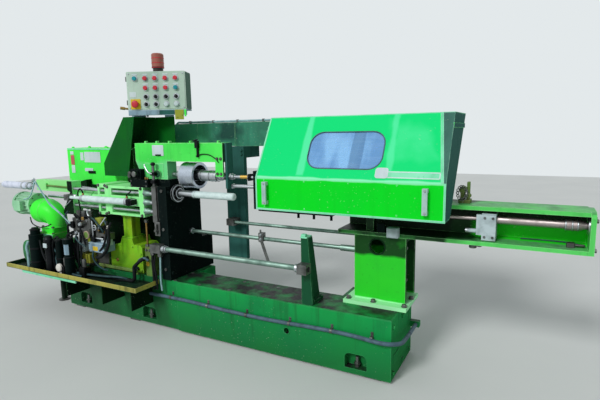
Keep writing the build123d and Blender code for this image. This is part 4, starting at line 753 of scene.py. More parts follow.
def dress_control_station():
    """The door, push buttons with bezels, selectors, stop button, label strips, apron plates and the side lever."""
    door = slab((7, -3, 7), (STATION_WIDTH - 7, 0, STATION_HEIGHT - 7), 10, "y")
    piece("control_door", on_station(door), "cream")
    # The buttons' columns and rows, as shares of the box's width and height
    columns = np.array([0.146, 0.323, 0.49, 0.665, 0.837]) * STATION_WIDTH
    rows = (1 - np.array([0.18, 0.43, 0.66, 0.86])) * STATION_HEIGHT
    full = [(x, -3, rows[0]) for x in columns]
    second = [(x, -3, rows[1]) for x in columns[1:]]
    third = [(x, -3, rows[2]) for x in columns[1:]]
    fourth = [(x, -3, rows[3]) for x in columns[1:]]
    bezel = turned([(0, 25), (4, 25), (7, 21), (7, 17)], 28)
    piece("button_bezels", on_station(stamped(bezel, full + second + third + fourth, "-y")), "bright",
          replaces=["control_buttons"])
    cap = turned([(6, 18), (15, 18), (18, 15), (18.5, 8)], 24)
    piece("red_buttons", on_station(stamped(cap, full[1:] + second[:3], "-y")), "red")
    piece("teal_buttons", on_station(stamped(cap, [full[0], second[3]], "-y")), "teal")
    knob = joined([turned([(6, 16), (14, 15), (15, 12)], 20), slab((-5, -16, 13), (5, 16, 25), 4)])
    piece("selector_knobs", on_station(stamped(knob, third + fourth[:2], "-y")), "selector")
    piece("lamp_lenses", on_station(stamped(cap, fourth[2:], "-y")), "plate")
    stop_x, stop_z = 0.14 * STATION_WIDTH, 0.15 * STATION_HEIGHT
    piece("stop_plate", on_station(slab((stop_x - 42, -7, stop_z - 42), (stop_x + 42, -3, stop_z + 42), 5, "y")),
          "yellow")
    mushroom = turned([(0, 15), (14, 15), (16, 27), (21, 30), (27, 27), (30, 18), (31, 6)], 32)
    piece("stop_button", on_station(placed(mushroom, (stop_x, -5, stop_z), "-y")), "red")
    strips = [slab((x - 22, -4.5, z + 27), (x + 22, -3, z + 37), 2, "y") for x, _, z in full + second]
    strips.append(slab((22, -4.5, 104), (76, -3, 146), 3, "y"))
    piece("bare_label_strips", on_station(joined(strips)), "plate")
    screws = [(x, -3, z) for x in (20, STATION_WIDTH - 20) for z in (18, STATION_HEIGHT - 18)]
    piece("door_screws", on_station(stamped(socket_head(6, 4), screws, "-y")), "bright")
    hinges = [rod((-4, 3, z), (-4, 3, z + 40), 5, 12) for z in (40, 232)]
    piece("door_hinges", on_station(joined(hinges)), "worn")
    piece("apron_pale_plate", on_station(slab((4, -3, -42), (262, 0, -4), 3, "y")), "shelf")
    piece("apron_dark_plate", on_station(slab((266, -3, -40), (392, 0, -6), 3, "y")), "post")
    piece("apron_yellow_bracket", on_station(slab((396, -4, -84), (470, 0, -2), 3, "y")), "yellow_green")
    piece("apron_green_strip", on_station(slab((476, -4, -60), (492, 0, -2), 3, "y")), "housing")
    lever = tube([(10, 60, 12), (-30, 40, 14), (-78, 22, 20)], [9] * 18 + [13] * 10)
    piece("box_side_lever", on_station(lever), "brass")
    gland = turned([(0, 14), (18, 14), (20, 11), (46, 9)], 20)
    piece("box_cable_glands", on_station(stamped(gland, [(60, 80, -8), (130, 80, -8)], "-z")), "selector")
    rings = [(STATION_WIDTH / 2, 75, STATION_HEIGHT + z) for z in (34, 72, 110)]
    piece("beacon_rings", on_station(stamped(plain_ring(0, 5, 46, 52), rings)), "red")


def slope_point(across, rise, off):
    """A point of the hood's slope: its middle line's foot, plus across X, plus rise up the slope, plus off out."""
    run, climb = HOOD_BROW - HOOD_FRONT, HOOD_TOP - HOOD_RIDGE
    length = (run ** 2 + climb ** 2) ** 0.5
    up = np.array([0, run, climb]) / length
    out = np.array([0, -climb, run]) / length
    return np.array([WINDOW_X + across, HOOD_FRONT, HOOD_RIDGE]) + rise * up + off * out


def on_slope(shape):
    """Lays a shape on the hood's slope: its X goes across, its Y up the slope, its Z out of the sheet."""
    points, faces = shape
    origin = slope_point(0, 0, 0)
    axes = np.array([slope_point(1, 0, 0), slope_point(0, 1, 0), slope_point(0, 0, 1)]) - origin
    return points @ axes + origin, faces


def slope_slab(across, rise, thickness, corner=4):
    """A rounded plate lying on the hood's slope."""
    return on_slope(slab((across[0], rise[0], 0), (across[1], rise[1], thickness), corner))


def dress_hood():
    """Gasket round the window, rubbed edge trims, the grey-green facing of painted shade, bottom lip, bare plates
    and end stiffeners.
    """
    # Four quarter circles, moved out to the window's corners, laid on the slope
    angle = (np.arange(4)[:, None] * pi / 2 + np.linspace(0, pi / 2, 7)).ravel()
    side = np.repeat([[1, 1], [-1, 1], [-1, -1], [1, -1]], 7, axis=0)
    straight = np.array([WINDOW_WIDTH, WINDOW_HEIGHT]) / 2 - WINDOW_CORNER
    loop = side * straight + WINDOW_CORNER * np.stack([np.cos(angle), np.sin(angle)], axis=-1)
    loop = np.concatenate([loop + [0, WINDOW_RISE], np.zeros((len(loop), 1))], axis=1)
    piece("window_gasket", on_slope(swept(loop, 4, 8, closed=True)), "grey_hose", "hood")
    # Thin trims round both end edges: the sheet's own profile, and the same profile pushed outwards
    profile = np.array([(HOOD_FRONT, HOOD_BASE), (HOOD_FRONT, HOOD_RIDGE), (HOOD_BROW, HOOD_TOP),
                        (HOOD_BACK, HOOD_TOP)])
    outer = profile + [(-2, 0), (-2, 1), (-1, 2), (0, 2)]
    for name, x0, x1 in (("right", HOOD_RIGHT - 11, HOOD_RIGHT + 1), ("left", HOOD_LEFT - 1, HOOD_LEFT + 9)):
        rings = [[(x0, *inside), (x1, *inside), (x1, *outside), (x0, *outside)]
                 for inside, outside in zip(profile, outer)]
        points = np.array(rings, float).reshape(-1, 3)
        trim = (points, [face[::-1] for face in quads_between(4, 4)] + [[0, 1, 2, 3], [15, 14, 13, 12]])
        piece(f"hood_{name}_trim", trim, "pale_green", "hood")
    lip = slab((HOOD_LEFT, HOOD_FRONT - 3, HOOD_BASE), (HOOD_RIGHT, HOOD_FRONT, HOOD_BASE + 13), 2, "x")
    piece("hood_bottom_lip", lip, "pale_green", "hood")
    brow = slab((HOOD_LEFT, HOOD_BROW - 2, HOOD_TOP - 6), (HOOD_RIGHT, HOOD_BROW + 6, HOOD_TOP + 2), 2, "x")
    piece("hood_brow_trim", brow, "pale_green", "hood")
    # The grey-green strip at the slope's right end, a painted shade, and the rubbed edge beside it
    facing = prism([(618, 2), (634, 2), (634, 450), (566, 450)], 0, 2.5)
    piece("hood_slope_facing", on_slope(facing), "dusty", "hood")
    edge = prism([(604, 2), (621, 2), (569, 450), (552, 450)], 0, 3.5)
    piece("hood_facing_edge", on_slope(edge), "pale_green", "hood")
    piece("hood_bare_plate", slope_slab((290, 600), (24, 70), 1.5), "pale_green", "hood")
    rims = [slope_slab((300, 598), (rise, rise + 5), 2.5, 2) for rise in (27, 62)]
    rims.append(slope_slab((592, 598), (27, 67), 2.5, 2))
    piece("hood_plate_rims", joined(rims), "plate", "hood")
    piece("hood_bare_badge", slope_slab((221, 300), (22, 90), 2.5, 16), "plate", "hood")
    ends = [slab((x, -60, 1560), (x + 5, 340, 1590), 2, "y") for x in (HOOD_LEFT - 4, HOOD_RIGHT - 1)]
    piece("hood_end_stiffeners", joined(ends), "hood", "hood")
    heads = [(x, HOOD_FRONT - 32, z) for x in (655, 1705) for z in (1091, 1217)]
    piece("handle_screws", stamped(socket_head(7, 5), heads, "-y"), "bright", "hood")
    dots = [(x, HOOD_FRONT, z) for x in (640, 940, 1240, 1540) for z in (1062, 1238)]
    piece("hood_rivets", stamped(turned([(0, 6), (2, 5), (3, 2)], 12), dots, "-y"), "hood", "hood")


def dress_head():
    """Bolts, cone nuts, cylinder ends, dark plates and rods round the crosshead, and the bare housing plates."""
    corners = [(x, BED_FRONT, z) for x in (-893, -509) for z in (912, 1128)]
    corners += [(x, BED_FRONT, z) for x in (-1000, -920) for z in (902, 1030, 1138)]
    piece("head_bolts", stamped(hex_head(20, 11), corners, "-y"), "worn")
    nut = joined([turned([(0, 30), (12, 30), (14, 27)], 6), turned([(12, 26), (22, 25), (60, 17), (62, 15)], 28)])
    piece("cone_nuts", stamped(nut, [(-484.5, -220, z) for z in (949, 1020, 1092)], "x"), "rods")
    y, z = SIDE_CYLINDER_LINE
    end = turned([(0, 29), (2, 31), (26, 31), (28, 29)], 28)
    piece("side_cylinder_ends", stamped(end, [(-1176, y, z), (-647, y, z)], "x"), "bright")
    eye = joined([slab((-621, -301, 996), (-558, -239.5, 1048), 10, "y"),
                  rod((-588, -308, z), (-588, -240, z), 13)])
    piece("side_cylinder_eye", eye, "black")
    clevis = joined([slab((-1382, -301, 996), (-1326, -241, 1048), 8, "y"),
                     rod((-1356, -306, z), (-1356, -240, z), 12)])
    piece("side_cylinder_clevis", clevis, "worn")
    ports = joined([rod((x, y, z + 24), (x, y, z + 44), 9, 12) for x in (-1160, -632)])
    piece("side_cylinder_ports", ports, "brass")
    supply = hoses(
        (6, (-1160, -272, 1062), (-1164, -276, 1084), (-1200, -270, 1100), (-1240, -262, 1060), (-1232, -262, 960),
         (-1215, -262, 880)),
        (5, (-632, -272, 1062), (-630, -274, 1080), (-604, -262, 1100), (-598, -252, 1120)))
    piece("side_cylinder_hoses", supply, "rubber")
    anchor = [(-1343, 1157), (-1405, 1157), (-1405, 1077), (-1370, 1060), (-1483, 885), (-1483, 864), (-1343, 864)]
    piece("anchor_face_plate", placed(prism(anchor, 0, 3), (0, BED_FRONT, 0), "-y"), "upright")
    edge = [rod((-1458, -244, 926), (-1352, -244, 1000), 5, 10),
            rod((-1300, -262, 1035), (-1262, -262, 1035), 14, 16)]
    piece("anchor_bright_edge", joined(edge), "bright")
    clamps = rings_on(CYLINDER_LINE, [(x, 22, 80, 93) for x in (-1040, -1180, -1290)])
    piece("cylinder_clamp_rings", joined(clamps), "head")
    ring = bolt_circle(-1343, CYLINDER_LINE, 66, 8, pi / 8)
    piece("cylinder_cap_bolts", stamped(hex_head(18, 10), ring, "-x"), "worn")
    wedge = prism([(-1602, 1003), (-1473, 1032), (-1469, 1144), (-1622, 1108)], 0, 60)
    piece("housing_bearing_plate", placed(wedge, (0, 60, 0), "-y"), "upright")
    rods = [rod((-1523, 0, 1072), (-1280, 0, 1056), 11), rod((-1240, 0, 1064), (-1140, 0, 1064), 10)]
    piece("housing_lower_rods", joined(rods), "bright")
    piece("housing_rod_block", slab((-1283, -20, 1049), (-1210, 60, 1110), 6, "y"), "upright")
    piece("housing_top_plate", slab((-1780, 56, 1418), (-905, 60, 1430), 2, "y"), "pale_green")
    pale = [slab((-1744, 56, 1372), (-1696, 60, 1402), 3, "y"), slab((-1740, 56, 1196), (-1690, 60, 1268), 3, "y"),
            slab((-1600, 56, 1318), (-1556, 60, 1392), 3, "y"), slab((-1544, 56, 1300), (-1322, 60, 1398), 4, "y"),
            slab((-1548, 55, 1216), (-1434, 60, 1246), 4, "y")]
    piece("housing_pale_plates", joined(pale), "plate")
    piece("housing_red_plate", slab((-1742, 56, 1274), (-1692, 60, 1366), 3, "y"), "red_plate")
    piece("housing_dark_catch", slab((-1500, 52, 1196), (-1404, 60, 1222), 4, "y"), "upright")
    piece("slideway_rod", rod((-2160, 52, 1056), (-1745, 52, 1048), 9), "brown")
    piece("slideway_bosses", joined([slab((x, 40, 1030), (x + 34, 60, 1082), 5, "y") for x in (-2180, -1770)]),
          "housing")
    cheek = [(-820, -45, 1515), (-955, -45, 1245), (-1110, -45, 1225), (-880, -45, 1640), (-780, -45, 1640)]
    piece("guard_screws", stamped(socket_head(6, 4), cheek, "-y"), "guard")
    web = prism([(-1052, 1436), (-869, 1436), (-869, 1690)], 0, 5)
    piece("guard_rear_web", placed(web, (0, 211, 0), "-y"), "guard")


def dress_pilot_and_arm():
    """Knobs and bolts of the pilot valve, stop rod knob and clamps, and the arm's bosses, plate and switch."""
    knob = turned([(0, 12), (6, 12), (8, 20), (20, 22), (24, 18), (25, 8)], 28)
    small = turned([(0, 10), (5, 10), (6, 15), (14, 16), (18, 11)], 24)
    piece("pilot_knobs", joined([placed(knob, (-535, -256, 1246), "-y"), placed(small, (-588, -256, 1250), "-y"),
                                 placed(small, (-612, -240, 1228), "-y")]), "worn")
    bolts = [(x, -238, z) for x in (-606, -444) for z in (1152, 1188)]
    piece("pilot_bolts", stamped(socket_head(7, 6), bolts, "-y"), "worn")
    fittings = [rod((x, -217, 1200), (x, -217, 1218), 8, 12) for x in (-470, -448)]
    piece("pilot_fittings", joined(fittings), "brass")
    stop = [placed(turned([(0, 11), (4, 16), (12, 19), (22, 16), (27, 6)], 24), (-372.5, -228, 1312))]
    stop += [slab((-392, -246, z), (-353, -210, z + 26), 6) for z in (1176, 1236)]
    piece("stop_rod_knob", joined(stop), "black")
    piece("stop_rod_arm", tube([(-372, -240, 1250), (-400, -252, 1262), (-430, -252, 1300), (-440, -250, 1322)], 6),
          "bright")
    bosses = [(x, -140, 1483) for x in (-520, -400, -270, -60, 200)]
    piece("arm_top_bolts", stamped(hex_head(26, 15), bosses), "arm")
    piece("arm_bare_plate", slab((-407, -193.5, 1386), (-290, -190, 1468), 5, "y"), "plate")
    piece("arm_plate_catch", slab((-372, -200, 1386), (-316, -193, 1397), 3, "y"), "black")
    switch = [slab((38, -218, 1446), (64, -190, 1500), 5, "y"), rod((50, -210, 1388), (50, -190, 1388), 9),
              slab((42, -204, 1392), (58, -190, 1446), 4, "y"), rod((30, -216, 1500), (70, -216, 1508), 5)]
    piece("limit_switch", joined(switch), "black")
    piece("limit_switch_cable", tube([(52, -198, 1392), (90, -196, 1402), (150, -195, 1398), (205, -195, 1372),
                                      (236, -196, 1344)], 3.5), "rubber")
    boss = turned([(0, 28), (6, 28), (8, 24), (8, 14), (2, 12)], 28)
    piece("arm_boss_ring", placed(boss, (-352, -205, 1249), "-y"), "gusset")
    piece("arm_leg_plate", slab((-500, -193, 1222), (-300, -190, 1330), 8, "y"), "arm")
    hanger = [(x, -190, z) for x in (218, 250) for z in (1262, 1370)]
    piece("ear_bolts", stamped(hex_head(18, 10), hanger, "-y"), "worn")
    nut = joined([turned([(0, 26), (16, 26), (18, 22)], 6), turned([(16, 19), (34, 19), (36, 16)], 24)])
    piece("hanger_nut", placed(nut, (286, *SPINDLE_LINE), "x"), "bright")
    lower = turned([(0, 20), (12, 20), (14, 16)], 6)
    nuts = [placed(lower, (286, *TAIL_ROD_LINE), "x"), placed(lower, (268, *TAIL_ROD_LINE), "-x"),
            placed(lower, (505, *TAIL_ROD_LINE), "-x"), placed(lower, (505, *SPINDLE_LINE), "-x")]
    piece("lower_rod_nuts", joined(nuts), "bright")
    stub = rod((236, *TAIL_ROD_LINE), (268, *TAIL_ROD_LINE), 11)
    piece("lower_rod_stub", stub, "bright")
    sleeve = turned([(0, 10), (3, 13), (62, 13), (65, 10)], 28)
    piece("tail_line_sleeve", placed(sleeve, (375, *SPINDLE_LINE), "x"), "new_brass")
    piece("tail_line_clamp", slab((448, -152, 1216), (468, -108, 1264), 5, "x"), "black")


def dress_spindle_and_ram():
    """Rims, a black ring of painted shade in the recess, and bolts of the drum, collars and nose cone of its shaft,
    the gland's rings and bolts, the sleeve's clamps, and the platen's bolts."""
    rims = rings_on(SPINDLE_LINE, [(x, 9, 90, 99) for x in (-128, -3)])
    piece("drum_rims", joined(rims), "bright", "spindle")
    # A black ring laid in the drum's recess: painted shade
    face = placed(plain_ring(0, 3, 42, 88), (-33, *SPINDLE_LINE), "x")
    piece("drum_recess_painted_shade", face, "black", "spindle")
    heads = bolt_circle(-30, SPINDLE_LINE, 59, 6)
    piece("drum_face_bolts", stamped(socket_head(8, 9), heads, "x"), "black", "spindle")
    collars = rings_on(SPINDLE_LINE, [(24, 8, 36, 43), (118, 8, 36, 43), (150, 8, 36, 43), (206, 14, 26, 33)])
    piece("shaft_collars", joined(collars), "bright", "spindle")
    grooves = rings_on(SPINDLE_LINE, [(x, 5, 38, 41) for x in (34, 112, 178)])
    piece("shaft_grooves", joined(grooves), "black", "spindle")
    nose = turned([(0, 23), (30, 36), (70, 38), (94, 34), (97, 24)], 36)
    piece("spindle_nose_cone", placed(nose, (-224, *SPINDLE_LINE), "x"), "bright", "spindle")
    rings = [placed(plain_ring(-1, 4, 59, 68), (-221, *RAM_LINE), "x"),
             placed(plain_ring(-1, 4, 34, 42), (-207, *RAM_LINE), "x"),
             placed(plain_ring(-1, 5, 60, 69), (-238, *RAM_LINE), "x")]
    piece("gland_bright_rings", joined(rings), "bright")
    heads = bolt_circle(-221, RAM_LINE, 51, 6, pi / 12)
    piece("gland_bolts", stamped(socket_head(6, 7), heads, "x"), "worn")
    clamps = rings_on(RAM_LINE, [(x, 5, 24, 28.5) for x in (-64, -46)])
    piece("ram_sleeve_clamps", joined(clamps), "bright", "ram")
    bolts = [(-245, -215, z) for z in (470, 760, 1110)] + [(-245, 125, 760), (-245, 125, 1110), (-245, 262, 470)]
    piece("platen_face_bolts", stamped(hex_head(26, 14), bolts, "x"), "dark")
    side = [(-288, BED_FRONT, z) for z in (500, 820, 1120)]
    piece("platen_side_bolts", stamped(socket_head(12, 8), side, "-y"), "worn")


def dress_pump_set():
    """A smooth skin on the elbow, seams, flange bolts, motor cowl and box, thin hoses, and the accumulator's vessel
    and neck."""
    # The elbow's middle line is a quarter circle, from the bell's end down to the flange
    turn = np.linspace(0, pi / 2, 25)
    start, bend = -1702, 112
    y, z = ELBOW_LINE
    path = np.stack([start + bend * np.sin(turn), np.full(25, float(y)), z - bend * (1 - np.cos(turn))], axis=-1)
    piece("elbow_skin", swept(path, np.linspace(109.5, 78, 25), 48), "pump", smooth=60)
    seams = [placed(plain_ring(-4, 4, 100, 113.5), (-1708, *ELBOW_LINE), "x"),
             placed(plain_ring(-3, 4, 104, 113.5), (-1800, *ELBOW_LINE), "x")]
    piece("bell_seams", joined(seams), "pump")
    bolts = [(-1628 + sx * 70, -247 + sy * 64, 736) for sx in (-1, 1) for sy in (-1, 1)]
    piece("flange_bolts", stamped(hex_head(20, 14), bolts), "worn")
    lower = [(-1628 + sx * 84, -247 + sy * 76, 686) for sx in (-1, 1) for sy in (-1, 1)]
    piece("flange_studs", stamped(hex_head(16, 10), lower), "worn")
    piece("flange_gasket", slab((-1715, -328, 683), (-1541, -166, 688), 20), "yellow_green")
    piece("lower_flange_face", slab((-1722, -338, 640), (-1534, -336, 682), 3, "y"), "pale_green")
    rim = ring_shape([(0, 106), (4, 108), (30, 108), (30, 100), (0, 100)], 48)
    cowl = rings_on(MOTOR_LINE, [(-2089, 3, r - 4, r) for r in (34, 52, 70, 88)])
    piece("motor_cowl", joined([placed(rim, (-2090, *MOTOR_LINE), "x"), *cowl]), "motor")
    y, z = MOTOR_LINE
    spans = ((-4, 0, 4, 99), (-4, -99, 4, 0), (0, -4, 99, 4), (-99, -4, 0, 4))
    spokes = [slab((-2090, y + low_y, z + low_z), (-2086, y + high_y, z + high_z), 1, "x")
              for low_y, low_z, high_y, high_z in spans]
    piece("motor_cowl_spokes", joined(spokes), "motor")
    box = [slab((-2010, -372, 880), (-1915, -330, 968), 8, "y"),
           slab((-2014, -376, 876), (-1911, -370, 972), 8, "y")]
    piece("motor_terminal_box", joined(box), "motor")
    thin = hoses(
        (6, (-1839, -262, 1147), (-1778, -275, 1103), (-1667, -300, 1038), (-1543, -330, 956), (-1438, -345, 915),
         (-1351, -350, 873), (-1268, -340, 808)),
        (6, (-1841, -262, 1135), (-1814, -300, 1075), (-1825, -330, 1005), (-1897, -340, 980)),
        (5, (-1828, -255, 1135), (-1755, -270, 1074), (-1603, -310, 985), (-1465, -340, 934), (-1333, -348, 867)))
    piece("bell_pale_hoses", thin, "pale_hose")
    union = joined([rod((-1870, -262, 1140), (-1838, -262, 1166), 12, 14),
                    rod((-1854, -262, 1108), (-1854, -250, 1140), 9, 14)])
    piece("bell_hose_union", union, "bright")
    loop = tube([(-1811, -350, 825), (-1796, -350, 775), (-1741, -350, 750), (-1661, -350, 742), (-1566, -350, 764),
                 (-1518, -350, 783)], 5)
    piece("motor_dark_loop", loop, "rubber")
    mint = tube([(-1760, -420, 620), (-1770, -434, 565), (-1758, -436, 501), (-1762, -436, 376)], 13)
    piece("pump_mint_pipe", mint, "pale_hose")
    vessel = turned([(0, 6), (4, 16), (16, 27), (34, 32), (60, 33), (400, 33), (426, 32), (444, 27), (456, 16),
                     (460, 12)], 36)
    piece("accumulator_vessel", placed(vessel, (-2390, *VESSEL_LINE), "x"), "vessel",
          replaces=["accumulator"])
    neck = placed(turned([(0, 13), (12, 13), (15, 9), (26, 9)], 20), (-1931, *VESSEL_LINE), "x")
    straps = rings_on(VESSEL_LINE, [(x, 24, 32, 36) for x in (-2056, -1976)])
    piece("accumulator_neck", joined([neck, *straps]), "bright")
    ring = bolt_circle(-1842, MOTOR_LINE, 88, 8)
    piece("motor_flange_bolts", stamped(socket_head(7, 8), ring, "x"), "worn")


def dress_tray():
    """The painted lip, rails under the tray, leg feet, tank fittings, and the canisters, pumps and pipes on it."""
    lip = [slab((-2052, -471, 366), (-386, -468, 402), 1.5, "x"),
           slab((-388, -470, 366), (-385.5, -230, 402), 1.5, "y"),
           slab((-2052, -468, 366), (-2050, 238, 402), 1.5, "y")]
    piece("tray_yellow_lip", joined(lip), "lip")
    piece("tray_rail", slab((-1848, -452, 330), (-1110, -440, 361), 3, "x"), "pale_green")
    piece("tray_rear_rail", slab((-2040, -60, 338), (-1530, -48, 361), 3, "x"), "tray")
    brackets = [slab((x, -450, 200), (x + 8, -229, 361), 3, "x") for x in (-1240, -800, -470)]
    piece("tray_brackets", joined(brackets), "upright")
    foot = turned([(0, 52), (8, 52), (10, 46), (12, 30)], 28)
    piece("tray_leg_feet", stamped(foot, [(-1704, y, 0) for y in (-166, 166)]), "worn")
    cap = placed(turned([(0, 36), (14, 36), (22, 28), (24, 8)], 28), (-1325, -430, 436), "-y")
    piece("white_filler_cap", joined([cap, slab((-1349, -432, 367), (-1301, -420, 438), 4, "y")]), "white_cap")
    slim = turned([(0, 40), (8, 40), (10, 34), (270, 34), (274, 40), (300, 40), (306, 34), (326, 30), (334, 12)], 32)
    piece("tray_slim_canister", placed(slim, (-1480, -412, 366)), "black")
    piece("pump_bare_plate", slab((-1504, -451, 596), (-1456, -443, 634), 3, "y"), "plate")
    y = CANISTER_Y
    wide = turned([(0, 44), (6, 44), (9, 40), (14, 30), (22, 26)], 28)
    narrow = turned([(0, 34), (8, 34), (12, 28), (18, 14)], 28)
    caps = [placed(wide, (-1675, y, 729)), placed(narrow, (-1350, y, 664)),
            placed(plain_ring(0, 16, 30, 60), (-1675, y, 560)), placed(plain_ring(0, 12, 30, 59), (-1675, y, 440)),
            placed(plain_ring(0, 14, 28, 36), (-1350, y, 500)), placed(plain_ring(0, 10, 28, 44), (-1232, y, 528))]
    piece("pump_caps", joined(caps), "black")
    # A curved sheet on the filter's front: an arc out at one radius and back at a smaller one
    turn = np.linspace(-pi * 0.72, -pi * 0.18, 9)
    arc = np.stack([np.cos(turn), np.sin(turn)], axis=-1)
    shield = prism(np.concatenate([35.5 * arc, 33 * arc[::-1]]), 558, 667)
    piece("filter_pale_shield", placed(shield, (-1232, y, 0)), "shelf")
    dome = turned([(0, 40), (5, 38), (10, 26), (12, 10)], 28)
    piece("filter_dome", placed(dome, (-1232, y, 690)), "black")
    pipes = hoses(
        (9, (-1620, -402, 640), (-1600, -410, 600), (-1560, -420, 520), (-1500, -424, 440), (-1470, -420, 384)),
        (9, (-1350, -402, 680), (-1380, -404, 690), (-1430, -404, 640), (-1450, -400, 560), (-1446, -400, 400)),
        (9, (-1232, -402, 700), (-1230, -398, 724), (-1210, -370, 742), (-1190, -330, 746)),
        (10, (-1176, -318, 706), (-1176, -340, 690), (-1180, -350, 600), (-1186, -348, 480), (-1192, -340, 398)),
        (8, (-1150, -318, 706), (-1148, -338, 690), (-1146, -348, 560), (-1150, -350, 440), (-1230, -352, 384)))
    piece("tray_dark_pipes", pipes, "rubber")
    suction = hoses(
        (12, (-1540, -330, 560), (-1500, -350, 540), (-1440, -380, 500), (-1400, -400, 440), (-1380, -410, 390)),
        (9, (-1590, -330, 640), (-1560, -352, 600), (-1490, -372, 600), (-1420, -392, 560), (-1350, -402, 548)),
        (9, (-1300, -402, 420), (-1262, -410, 400), (-1180, -410, 388), (-1090, -400, 380)))
    piece("tray_suction_pipes", suction, "teal_hose")
    body = [slab((-1480, -396, 372), (-1400, -330, 470), 8), slab((-1560, -390, 372), (-1500, -330, 430), 8),
            slab((-1300, -440, 372), (-1264, -380, 450), 6), slab((-1130, -400, 372), (-1060, -330, 452), 8),
            slab((-1580, -372, 480), (-1520, -318, 570), 8), slab((-1470, -380, 560), (-1420, -330, 640), 6)]
    piece("tray_pump_blocks", joined(body), "black")
    rods = [rod((-1440, -364, 470), (-1440, -364, 560), 16), rod((-1094, -364, 452), (-1094, -364, 520), 18),
            rod((-1530, -360, 430), (-1530, -360, 484), 20), rod((-1282, -410, 450), (-1282, -410, 520), 12)]
    piece("tray_pump_stems", joined(rods), "worn")
    breather = placed(turned([(0, 30), (10, 30), (14, 24), (30, 22), (34, 14)], 28), (-1960, -190, 590))
    drain = placed(turned([(0, 16), (6, 16), (8, 12)], 20), (-1800, -315, 470), "-y")
    piece("tank_fittings", joined([breather, drain]), "black")
    piece("tank_sight_glass", slab((-1720, -320, 420), (-1700, -315, 540), 6, "y"), "plate")
    dark = tube([(-626, -268, 362), (-700, -330, 404), (-900, -362, 398), (-1100, -372, 392), (-1300, -366, 386),
                 (-1440, -352, 384)], 9)
    piece("tray_long_hose", dark, "teal_hose")
    curved = tube([(-452, -262, 560), (-480, -276, 578), (-530, -280, 560), (-572, -276, 505), (-600, -272, 440),
                   (-616, -268, 380)], 9)
    piece("tray_curved_hose", curved, "grey_hose")


